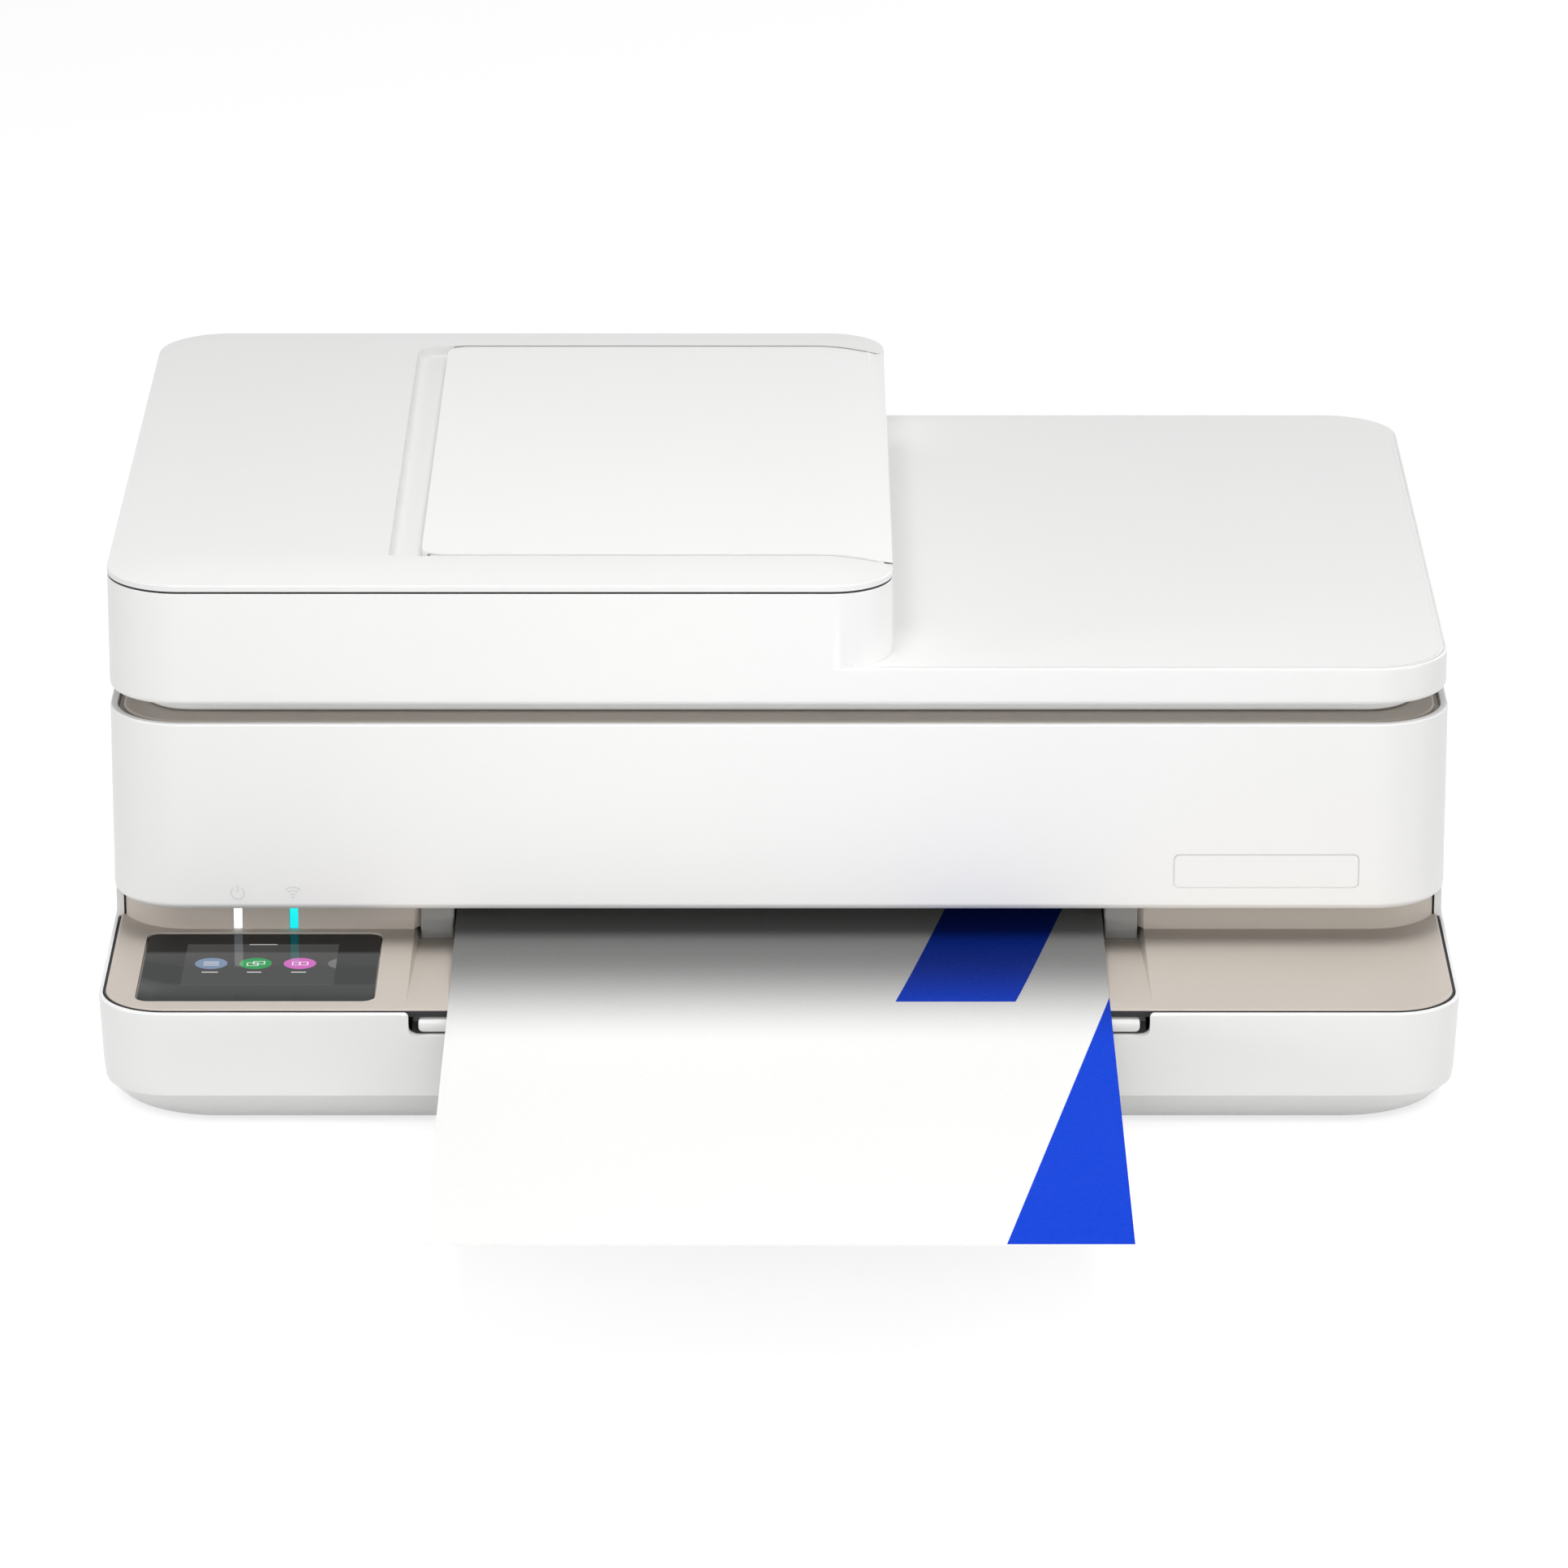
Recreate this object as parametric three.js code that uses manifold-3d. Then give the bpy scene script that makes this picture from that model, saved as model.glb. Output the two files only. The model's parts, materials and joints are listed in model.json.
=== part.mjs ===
// An inkjet printer with a flatbed scanner and a sheet feeder, in millimetres, +Z up.
// X runs left to right as a user faces the machine, Y from the front to the back.
// Sizes are measured from the face of the paper drawer (y = 0) and from the table (z = 0);
// the finished group is shifted at the end so that its origin is under the middle of it all.
import * as THREE from "three";
import { mergeVertices } from "three/addons/utils/BufferGeometryUtils.js";
import Module from "manifold-3d";

const wasm = await Module();
wasm.setup();

// Clearances
const GAP = 0.3; // between pieces that touch
const SLIP = 0.5; // between pieces that slide past each other
const SEAM = 1; // shadow gap round the deck
const BED_SEAM = 1.4; // shadow gap round the scanner bed
const RUNNING = 0.15; // radial, in bores with a turning or sliding rod
const ARC_STEPS = 6; // facets in a quarter circle of a casing corner
const ROUND_STEPS = 20; // facets round a shaft or roller

// Lower casing
const CASE_WIDTH = 434;
const CASE_DEPTH = 361;
const CASE_CORNER = 22;
const CASE_WALL = 3;
const CASE_TAPER = 1.1; // how far each side leans in towards the plinth
const CASE_BOTTOM = 2;
const PLINTH_TOP = 13.7;
const PLINTH_SETBACK = 14;
const PLINTH_CORNER = 34;
const CASE_RIM = 41.7;
const RIM_WALL = 1.2;
const RIM_REBATE = 4.5;
const SIDE_TOP = 52.6;
const SIDE_STEP_Y = 92.8;
const SIDE_STEP_INSET = 0.7;
const DRAWER_SEAM_Y = 26;
const FOOT_RADIUS = 11;
const FOOT_INSET = 46;
const PAN_THICKNESS = 2.2;

// Deck and neck
const DECK_THICKNESS = 3.4;
const DECK_PROUD = 0.2;
const NECK_Y = 77.8;
const NECK_WALL = 2.5;
const NECK_CORNER = 23;
const NECK_TOP = 54.6;
const BAY_SIDE_ROOM = 12.5; // between the sheet and each side of the bay
const BAY_FRONT_Y = 9;
const BAY_BACK_Y = 88;
const BAY_DROP = 3.3;
const BAY_FLOOR = 1.1;
const BAY_DRAFT = 2;
const GLASS_INSET = 12.5; // from the casing's side
const GLASS_BAY_GAP = 11.5; // from the bay
const GLASS_FRONT = 10;
const GLASS_BACK = 74;
const GLASS_CORNER = 4;
const GLASS_THICKNESS = 1.6;
const DISPLAY_WIDTH = 48.9;
const DISPLAY_HEIGHT = 38.7;
const DISPLAY_OFFSET = 0.1; // left of the middle of the glass
const DISPLAY_Y = 44.75;
const DISPLAY_THICKNESS = 1.6;
const LIGHT_INSETS = [28.6, 46.8]; // from the left edge of the glass
const LIGHT_WIDTH = 3;
const LIGHT_DEPTH = 5;
const BLOCK_WIDTH = 11.5;

// Upper unit
const COVER_INSET = 1; // each side, in from the casing
const COVER_WIDTH = CASE_WIDTH - 2 * COVER_INSET;
const COVER_FRONT = 60.1;
const COVER_BACK = 357.4;
const COVER_BOTTOM = 55.3;
const COVER_TOP = 118.2;
const COVER_CORNER = 24.5;
const COVER_WALL = 2.3;
const PLATE_INSET = 59; // its middle, in from the cover's side
const PLATE_Z = 68.5;
const PLATE_WIDTH = 60;
const PLATE_HEIGHT = 11.7;
const PLATE_DEPTH = 0.4;
const BED_DROP = 0.3;
const BED_PLATE = 3.4;
const TUB_BOTTOM = 95;
const TUB_WALL = 2;
const TUB_INSET = 11;
const TUB_HALF_WIDTH = COVER_WIDTH / 2 - TUB_INSET;
const TUB_FRONT = 82;
const TUB_BACK = 339;
const SCAN_FRONT = 98;
const SCAN_BACK = 314;
const STRIP_INSET = 11;
const STRIP_WIDTH = 20;
const STRIP_GAP = 8;
const SCAN_LENGTH = 302;
const STRIP_LEFT = STRIP_INSET - TUB_HALF_WIDTH;
const STRIP_RIGHT = STRIP_LEFT + STRIP_WIDTH;
const SCAN_LEFT = STRIP_RIGHT + STRIP_GAP;
const SCAN_RIGHT = SCAN_LEFT + SCAN_LENGTH;
const PANE_THICKNESS = 2;
const PANE_LAP = 2.5;
const SCAN_BAR_WIDTH = 16;
const SCAN_BAR_HEIGHT = 10;
const SCAN_ROD_RADIUS = 3;
const HINGE_Y = 352;
const HINGE_Z = 61;
const HINGE_BOARD_GAP = 26; // from the near edge of the board
const HINGE_POST_WIDTH = 6;
const HINGE_POST_DEPTH = 10;
const HINGE_RADIUS = 3;
const HINGE_EAR = 4;

// Lid
const LID_SHORT = 0.7; // its right side, in from the cover's
const LID_RIGHT = COVER_WIDTH / 2 - LID_SHORT;
const LID_BOTTOM = 124.8;
const LID_TOP = 137;
const LID_WALL = 2.4;
const LIP_INSET = 11;
const LIP_LEFT = LIP_INSET - COVER_WIDTH / 2;
const LIP_RIGHT = COVER_WIDTH / 2 - LIP_INSET;
const LIP_FRONT = 73.7;
const LIP_BACK = 339;
const LIP_CORNER = 16;
const PAD_THICKNESS = 3;
const POST_X = 120;
const POST_WIDTH = 20;
const POST_DEPTH = 7;
const POST_Y = 349.5;
const POST_BOTTOM = 99;
const LID_AXIS_Z = 129.5;
const LID_PIN_RADIUS = 1.8;

// Sheet feeder
const FEEDER_RIGHT = 36.5;
const FEEDER_CORNER = 20;
const FEEDER_SEAM = 162.1;
const FEEDER_SEAM_GAP = 0.7;
const FEEDER_EDGE = 164.3;
const FEEDER_TOP = 168;
const FEEDER_ROLL = 24;
const FEEDER_WALL = 2.4;
const FLAP_LEFT = -115;
const FLAP_FRONT = 83.3;
const FLAP_BACK = 329.6;
const FLAP_CORNER = 7;
const FLAP_PROUD = 0.4;
const FLAP_AXIS_INSET = 6;
const FLAP_AXIS_Z = 163.6;
const FLAP_SKIRT = 159.8;
const GROOVE_WIDTH = 10.5;
const GROOVE_FLOOR = 1.4;
const EXIT_BOTTOM = 140.4;
const EXIT_TOP = 151;
const RAMP_LEFT = -72;
const RAMP_LOW = 151.5;
const RAMP_RISE = 2.5;
const RAMP_THICKNESS = 2;
const GUIDE_HEIGHT = 5;
const GUIDE_LENGTH = 60;
const FEED_WIDTH = 210;
const SEPARATOR_X = -96;
const SEPARATOR_Z = 152;
const SEPARATOR_RADIUS = 7;
const SEPARATOR_LENGTH = 52;

// Paper drawer
const PAPER_WIDTH = 210;
const PAPER_LENGTH = 297;
const STACK_HEIGHT = 23;
const STACK_FRONT = 22;
const TRAY_FLOOR = 2.4;
const TRAY_WALL = 2;
const TRAY_SIDE_ROOM = 10; // between the stack and each side wall
const TRAY_BACK_ROOM = 12;
const TRAY_TOP = 33.6;
const TRAY_GUIDE = 2;
const TRAY_GUIDE_LENGTH = 80;
const TRAY_GUIDE_WIDTH = 60;
const NOTCH_DEPTH = 7.6;
const NOTCH_CORNER = 2.5;
const EXTENDER_BAY_GAP = 3.2;
const EXTENDER_LIP = 5;
const EXTENDER_LIP_DEPTH = 4;
const EXTENDER_PLATE = 1.5;
const EXTENDER_LENGTH = 165;

// Paper path
const ROLLER_MARGIN = 3; // past each edge of the sheet
const ROLLER_LENGTH = PAPER_WIDTH + 2 * ROLLER_MARGIN;
const FEED_RADIUS = 8;
const FEED_Y = 184.5;
const FEED_Z = 46;
const EXIT_RADIUS = 5;
const EXIT_Y = 97;
const EXIT_Z = 42.2;
const SHAFT_RADIUS = 3;
const TURN_Y = 298;
const TURN_Z = 50;
const TURN_REACH = 46;
const TURN_RISE = 27;
const TURN_THICKNESS = 2;
const TURN_INLET_Z = 63.5;
const PICK_RADIUS = 10;
const PICK_Y = 262;
const PICK_WIDTH = 34;
const SPUR_RADIUS = 3.2;
const SPUR_PITCH = 28;
const SHEET_THICKNESS = 0.4;
const SHEET_LEVEL = 42.6;
const GEAR_MODULE = 2;
const FEED_TEETH = 18;
const EXIT_TEETH = 10;
const TRANSFER_TEETH = 30;
const PINION_TEETH = 8;
const PINION_ANGLE = -100; // degrees, seen from the right-hand side
const GEAR_WIDTH = 5;
const MOTOR_RADIUS = 14;
const MOTOR_LENGTH = 24;

// Print engine
const FRAME_INSET = 31; // from the casing's side
const FRAME_HALF_WIDTH = CASE_WIDTH / 2 - FRAME_INSET;
const FRAME_FRONT = 93;
const FRAME_BACK = 205;
const FRAME_TOP = 88;
const FRAME_SHEET = 1.5;
const RAIL_RADIUS = 4;
const RAIL_Y = 184.5;
const RAIL_Z = 71;
const PARK_OVERLAP = 6; // of the parked carriage over the platen
const PARK_ROOM = 16; // between the parked carriage and the frame's side
const CARRIAGE_LEFT = ROLLER_LENGTH / 2 - PARK_OVERLAP;
const CARRIAGE_WIDTH = FRAME_HALF_WIDTH - PARK_ROOM - CARRIAGE_LEFT;
const CARRIAGE_X = CARRIAGE_LEFT + CARRIAGE_WIDTH / 2;
const NOZZLE_INSET = 6.5; // from each side of a cartridge
const CARRIAGE_FRONT = 112;
const CARRIAGE_BACK = 175;
const CARRIAGE_BOTTOM = 53;
const CARRIAGE_TOP = 78;
const CARRIAGE_WALL = 2;
const BUSH_RADIUS = 7;
const CARTRIDGE_RISE = 3;
const LATCH_LENGTH = 16;
const LATCH_THICKNESS = 2;
const BELT_Z = 71;
const BELT_WIDTH = 5;
const BELT_THICKNESS = 1.2;
const PULLEY_RADIUS = 6.5;
const PULLEY_INSET = 14;
const PULLEY_X = FRAME_HALF_WIDTH - PULLEY_INSET;
const STATION_ROOM = 12; // from the frame's side
const SLED_ROOM = 12;
const SLED_HEIGHT = 4;

// Electronics, beside the drawer
const TRAY_HALF_WIDTH = PAPER_WIDTH / 2 + TRAY_SIDE_ROOM + TRAY_WALL;
const BOARD_TRAY_GAP = 7;
const BOARD_INSET = 13; // from the casing's side
const BOARD_LEFT = TRAY_HALF_WIDTH + BOARD_TRAY_GAP;
const BOARD_RIGHT = CASE_WIDTH / 2 - BOARD_INSET;
const BOARD_FRONT = 228;
const BOARD_BACK = 338;
const CHIP_SIZE = 24;
const CHIP_INSET_X = 26;
const CHIP_INSET_Y = 36;
const SUPPLY_HEIGHT = 40;

// ---------- geometry helpers ----------

function toSolid(geometry) {
  const bare = geometry.index ? geometry.toNonIndexed() : geometry.clone();
  bare.deleteAttribute("normal");
  bare.deleteAttribute("uv");
  const merged = mergeVertices(bare, 1e-4);
  const vertProperties = merged.attributes.position.array;
  const triVerts = new Uint32Array(merged.index.array);
  return new wasm.Manifold(new wasm.Mesh({ numProp: 3, vertProperties, triVerts }));
}

function toMesh(name, solid, material) {
  const { vertProperties, triVerts } = solid.getMesh();
  const geometry = new THREE.BufferGeometry();
  geometry.setAttribute("position", new THREE.BufferAttribute(vertProperties, 3));
  geometry.setIndex(new THREE.BufferAttribute(triVerts, 1));
  geometry.computeVertexNormals();
  const made = new THREE.Mesh(geometry, material);
  made.name = name;
  return made;
}

function box(x0, x1, y0, y1, z0, z1) {
  const geometry = new THREE.BoxGeometry(x1 - x0, y1 - y0, z1 - z0);
  geometry.translate((x0 + x1) / 2, (y0 + y1) / 2, (z0 + z1) / 2);
  return toSolid(geometry);
}

// Rounded rectangle, counter-clockwise; radii go front left, front right, back right, back left.
function rectangle({ left, right, front, back, radii }) {
  const [frontLeft, frontRight, backRight, backLeft] = radii;
  const corners = [
    [left + frontLeft, front + frontLeft, frontLeft, Math.PI],
    [right - frontRight, front + frontRight, frontRight, 1.5 * Math.PI],
    [right - backRight, back - backRight, backRight, 0],
    [left + backLeft, back - backLeft, backLeft, 0.5 * Math.PI],
  ];
  return corners.flatMap(([x, y, radius, start]) =>
    Array.from({ length: ARC_STEPS + 1 }, (_, i) => {
      const angle = start + ((i / ARC_STEPS) * Math.PI) / 2;
      return [x + radius * Math.cos(angle), y + radius * Math.sin(angle)];
    }),
  );
}

// Draws each side of a rounded rectangle in by its own amount.
function drawnIn(shape, side, front = side, back = side, right = side) {
  const radii = shape.radii.map((radius) => Math.max(radius - side, 0.4));
  return {
    left: shape.left + side,
    right: shape.right - right,
    front: shape.front + front,
    back: shape.back - back,
    radii,
  };
}

// A closed solid through rounded rectangles stacked at rising heights.
function loft(levels) {
  const rings = levels.map(([z, shape]) => rectangle(shape).map(([x, y]) => [x, y, z]));
  const count = rings[0].length;
  const index = [];
  for (let level = 0; level + 1 < rings.length; level++)
    for (let i = 0; i < count; i++) {
      const a = level * count + i;
      const b = level * count + ((i + 1) % count);
      index.push(a, b, b + count, a, b + count, a + count);
    }
  const top = (rings.length - 1) * count;
  for (let i = 1; i + 1 < count; i++) {
    index.push(0, i + 1, i);
    index.push(top, top + i, top + i + 1);
  }
  const geometry = new THREE.BufferGeometry();
  geometry.setAttribute("position", new THREE.Float32BufferAttribute(rings.flat(2), 3));
  geometry.setIndex(index);
  return toSolid(geometry);
}

function slab(shape, z0, z1) {
  return loft([
    [z0, shape],
    [z1, shape],
  ]);
}

function extruded(points, depth, holes = []) {
  const shape = new THREE.Shape(points.map(([a, b]) => new THREE.Vector2(a, b)));
  for (const hole of holes) shape.holes.push(new THREE.Path(hole.map(([a, b]) => new THREE.Vector2(a, b))));
  return new THREE.ExtrudeGeometry(shape, { depth, bevelEnabled: false, curveSegments: ROUND_STEPS });
}

// A prism along X from a profile of [y, z] points.
function prismX(points, x0, x1, holes = []) {
  const geometry = extruded(points, x1 - x0, holes);
  const turn = new THREE.Matrix4().makeBasis(
    new THREE.Vector3(0, 1, 0),
    new THREE.Vector3(0, 0, 1),
    new THREE.Vector3(1, 0, 0),
  );
  geometry.applyMatrix4(turn);
  geometry.translate(x0, 0, 0);
  return toSolid(geometry);
}

// A prism along Y from a profile of [x, z] points.
function prismY(points, y0, y1, holes = []) {
  const geometry = extruded(points, y1 - y0, holes);
  geometry.rotateX(Math.PI / 2);
  geometry.translate(0, y1, 0);
  return toSolid(geometry);
}

function rod(axis, radius, from, to, [a, b], steps = ROUND_STEPS) {
  const geometry = new THREE.CylinderGeometry(radius, radius, to - from, steps);
  const middle = (from + to) / 2;
  if (axis === "x") geometry.rotateZ(Math.PI / 2).translate(middle, a, b);
  if (axis === "y") geometry.translate(a, middle, b);
  if (axis === "z") geometry.rotateX(Math.PI / 2).translate(a, b, middle);
  return toSolid(geometry);
}

// The range between two distances from the middle, on the left (-1) or right (1) side.
function span(side, near, far) {
  return side < 0 ? [-far, -near] : [near, far];
}

function joined(solids) {
  return solids.reduce((sum, solid) => sum.add(solid));
}

function without(solid, cutters) {
  return cutters.reduce((rest, cutter) => rest.subtract(cutter), solid);
}

function plastic(color, roughness = 0.55) {
  return new THREE.MeshStandardMaterial({ color, roughness, metalness: 0 });
}

function metal(color, roughness = 0.35) {
  return new THREE.MeshStandardMaterial({ color, roughness, metalness: 1 });
}

const WHITE = 0xf1f1f0;
const BEIGE = 0xcdc3b8;
const GREY = 0xc4c6c6;
const DARK = 0x34363a;
const STEEL = 0xb9bcc0;

const FAR = 1000; // reach of a cutter that takes all on one side
const TURN = Math.PI / 180;
const HALF = CASE_WIDTH / 2;
const HINGE_X = BOARD_LEFT + HINGE_BOARD_GAP;
const BAY_HALF_WIDTH = PAPER_WIDTH / 2 + BAY_SIDE_ROOM;
const GLASS_LEFT = GLASS_INSET - HALF;
const GLASS_RIGHT = -BAY_HALF_WIDTH - GLASS_BAY_GAP;
const DISPLAY_X = (GLASS_LEFT + GLASS_RIGHT) / 2 - DISPLAY_OFFSET;
const LIGHT_X = LIGHT_INSETS.map((inset) => GLASS_LEFT + inset);
const DECK_Z = CASE_RIM + DECK_PROUD;
const BAY_SLOPE = BAY_DROP / (NECK_Y - BAY_FRONT_Y);
const BAY_BACK_Z = DECK_Z - BAY_SLOPE * (BAY_BACK_Y - BAY_FRONT_Y);

// ---------- lower casing ----------

function caseLevel(z, side, front, radius) {
  return [
    z,
    {
      left: side - HALF,
      right: HALF - side,
      front,
      back: CASE_DEPTH - side,
      radii: [radius, radius, CASE_CORNER, CASE_CORNER],
    },
  ];
}

// Outer form below the rim: upright sides over a plinth that is set back at the front.
function caseLevels() {
  const edge = 0.8;
  return [
    caseLevel(CASE_BOTTOM, CASE_TAPER + 3, PLINTH_SETBACK, PLINTH_CORNER),
    caseLevel(PLINTH_TOP, CASE_TAPER + 2, edge, CASE_CORNER),
    caseLevel(PLINTH_TOP + 1.5, CASE_TAPER + 0.6, 0, CASE_CORNER),
    caseLevel(PLINTH_TOP + 6, CASE_TAPER, 0, CASE_CORNER),
    caseLevel(CASE_RIM - edge, 0, 0, CASE_CORNER),
    caseLevel(CASE_RIM, edge, edge, CASE_CORNER - edge),
  ];
}

function caseCavity() {
  const inner = caseLevels().slice(0, 5).map(([z, shape]) => [z, drawnIn(shape, CASE_WALL)]);
  const below = [CASE_BOTTOM - 1, drawnIn(inner[0][1], 0, 1)];
  const above = [SIDE_TOP + 1, inner[4][1]];
  return loft([below, ...inner, above]);
}

// The step that takes the deck's edge, all round the inside of the rim.
function rimRebate() {
  const [, rim] = caseLevels()[4];
  return slab(drawnIn(rim, RIM_WALL), CASE_RIM - RIM_REBATE, CASE_RIM + 1);
}

function lowerShell() {
  const [, rim] = caseLevels()[4];
  const upper = slab(drawnIn(rim, SIDE_STEP_INSET), CASE_RIM - 2, SIDE_TOP);
  const behindStep = box(-FAR, FAR, SIDE_STEP_Y, FAR, -FAR, FAR);
  const rebate = rimRebate().subtract(box(-FAR, FAR, SIDE_STEP_Y, FAR, -FAR, FAR));
  return without(loft(caseLevels()).add(upper.intersect(behindStep)), [caseCavity(), rebate]);
}

// Sockets in the rear wall, each as [x, z, width, height].
const INLET = [-BOARD_LEFT - 2, 27, 22, 15];
const USB = [BOARD_LEFT + 1, 20, 13, 12];
const POWER_BUTTON = [BOARD_LEFT - 20, 32, 10, 10];
const WIFI_BUTTON = [BOARD_LEFT - 40, 32, 10, 10];

function rearHole([x, z, width, height], margin) {
  const halfWidth = width / 2 + margin;
  const halfHeight = height / 2 + margin;
  return box(x - halfWidth, x + halfWidth, CASE_DEPTH - 12, FAR, z - halfHeight, z + halfHeight);
}

function casing() {
  const shell = lowerShell().subtract(box(-FAR, FAR, -FAR, DRAWER_SEAM_Y + GAP, -FAR, FAR));
  const left = shell.intersect(box(-FAR, -HINGE_X, -FAR, FAR, -FAR, FAR));
  const right = shell.intersect(box(HINGE_X, FAR, -FAR, FAR, -FAR, FAR));
  const holes = [INLET, USB, POWER_BUTTON, WIFI_BUTTON].map((hole) => rearHole(hole, GAP));
  const seam = HINGE_X - GAP;
  const rear = without(shell.intersect(box(-seam, seam, 0, FAR, -FAR, FAR)), holes);
  const inner = CASE_WALL + CASE_TAPER + 3 + SLIP;
  const pan = slab(
    {
      left: inner - HALF,
      right: HALF - inner,
      front: PLINTH_SETBACK + PLINTH_CORNER / 2,
      back: CASE_DEPTH - inner,
      radii: [PLINTH_CORNER, PLINTH_CORNER, CASE_CORNER, CASE_CORNER],
    },
    CASE_BOTTOM + GAP,
    CASE_BOTTOM + GAP + PAN_THICKNESS,
  );
  const footX = HALF - FOOT_INSET;
  const feet = [-footX, footX].flatMap((x) =>
    [FOOT_INSET + PLINTH_SETBACK, CASE_DEPTH - FOOT_INSET].map((y) =>
      rod("z", FOOT_RADIUS, 0, CASE_BOTTOM + 1, [x, y]),
    ),
  );
  return [
    toMesh("side_panel_left", left, plastic(WHITE)),
    toMesh("side_panel_right", right, plastic(WHITE)),
    toMesh("rear_panel", rear, plastic(WHITE)),
    toMesh("bottom_pan", joined([pan, ...feet]), plastic(GREY)),
  ];
}

// ---------- deck, touch panel and light bars ----------

function deckShape() {
  const edge = RIM_WALL + SEAM;
  const radius = CASE_CORNER - edge;
  return {
    left: edge - HALF,
    right: HALF - edge,
    front: edge,
    back: SIDE_STEP_Y - GAP,
    radii: [radius, radius, 0.4, 0.4],
  };
}

function neckShape(grow = 0) {
  const edge = RIM_WALL + SEAM;
  const radius = NECK_CORNER - grow;
  return {
    left: edge + grow - HALF,
    right: HALF - edge - grow,
    front: NECK_Y + grow,
    back: CASE_DEPTH,
    radii: [radius, radius, radius, radius],
  };
}

function glassShape(grow) {
  const radius = GLASS_CORNER + grow;
  return {
    left: GLASS_LEFT - grow,
    right: GLASS_RIGHT + grow,
    front: GLASS_FRONT - grow,
    back: GLASS_BACK + grow,
    radii: [radius, radius, radius, radius],
  };
}

function displayBox(grow, z0, z1) {
  const halfWidth = DISPLAY_WIDTH / 2 + grow;
  const halfHeight = DISPLAY_HEIGHT / 2 + grow;
  return box(
    DISPLAY_X - halfWidth,
    DISPLAY_X + halfWidth,
    DISPLAY_Y - halfHeight,
    DISPLAY_Y + halfHeight,
    z0,
    z1,
  );
}

function controlDeck() {
  const edge = 0.5;
  const under = DECK_Z - DECK_THICKNESS;
  const plate = loft([
    [under, deckShape()],
    [DECK_Z - edge, deckShape()],
    [DECK_Z, drawnIn(deckShape(), edge, edge, 0)],
  ]);
  const neck = slab(neckShape(), under, NECK_TOP)
    .subtract(slab(neckShape(NECK_WALL), 0, FAR))
    .subtract(box(-FAR, FAR, SIDE_STEP_Y - GAP, FAR, -FAR, FAR))
    .subtract(box(-BAY_HALF_WIDTH, BAY_HALF_WIDTH, 0, FAR, -FAR, FAR));
  const slope = [
    [BAY_FRONT_Y, DECK_Z + 1],
    [BAY_FRONT_Y, DECK_Z],
    [BAY_BACK_Y, BAY_BACK_Z],
    [FAR, BAY_BACK_Z],
    [FAR, DECK_Z + 1],
  ];
  const floor = [
    [BAY_FRONT_Y - 1, under],
    [BAY_BACK_Y, BAY_BACK_Z - BAY_FLOOR],
    [BAY_BACK_Y, BAY_BACK_Z],
    [BAY_FRONT_Y - 1, DECK_Z - 0.2],
  ];
  const rails = [-1, 1].map((side) => {
    const [x0, x1] = span(side, BAY_HALF_WIDTH, BAY_HALF_WIDTH + BAY_DRAFT);
    return box(x0, x1, BAY_FRONT_Y, BAY_BACK_Y, BAY_BACK_Z - BAY_FLOOR, DECK_Z - 0.1);
  });
  const lipRoom = EXTENDER_LIP_DEPTH + 1 + SLIP + GAP;
  const cutters = [
    prismX(slope, -BAY_HALF_WIDTH, BAY_HALF_WIDTH),
    box(-BAY_HALF_WIDTH, BAY_HALF_WIDTH, 0, lipRoom, -FAR, extenderTop() + SLIP),
    box(-BAY_HALF_WIDTH, BAY_HALF_WIDTH, BAY_BACK_Y, FAR, -FAR, FAR),
  ];
  const bay = without(plate, cutters);
  const shelf = prismX(floor, -BAY_HALF_WIDTH - 1, BAY_HALF_WIDTH + 1);
  const lights = LIGHT_X.map((x) => lightBox(x, GAP, DECK_Z));
  const glassFloor = DECK_Z - GLASS_THICKNESS - GAP;
  const deck = without(joined([bay, shelf, ...rails, neck]), [
    ...lights,
    slab(glassShape(GAP), glassFloor, FAR),
    displayBox(GAP, 0, FAR),
    box(-BAY_HALF_WIDTH, BAY_HALF_WIDTH, 0, lipRoom, -FAR, extenderTop() + SLIP),
    rod("x", pitchRadius(EXIT_TEETH) + GEAR_MODULE + SLIP, GEAR_X0 - 1, GEAR_X1 + 1, EXIT_CENTRE),
  ]);
  return toMesh("control_deck", deck, plastic(BEIGE));
}

function lightBox(x, grow, z0) {
  const half = LIGHT_WIDTH / 2 + grow;
  return box(x - half, x + half, NECK_Y - grow, NECK_Y + LIGHT_DEPTH + grow, z0, NECK_TOP + grow);
}

function touchPanel() {
  const top = DECK_Z - DECK_PROUD / 2;
  const glass = slab(glassShape(0), top - GLASS_THICKNESS, top);
  const displayTop = DECK_Z - GLASS_THICKNESS - GAP;
  const display = displayBox(0, displayTop - DISPLAY_THICKNESS, displayTop);
  return [
    toMesh("touch_glass", glass, plastic(0x2b2e30, 0.08)),
    toMesh("display_module", display, plastic(0x3c3e40, 0.4)),
    toMesh("power_light", lightBox(LIGHT_X[0], 0, DECK_Z + GAP), plastic(0xffffff, 0.3)),
    toMesh("wireless_light", lightBox(LIGHT_X[1], 0, DECK_Z + GAP), plastic(0x28b4e6, 0.3)),
  ];
}

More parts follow.
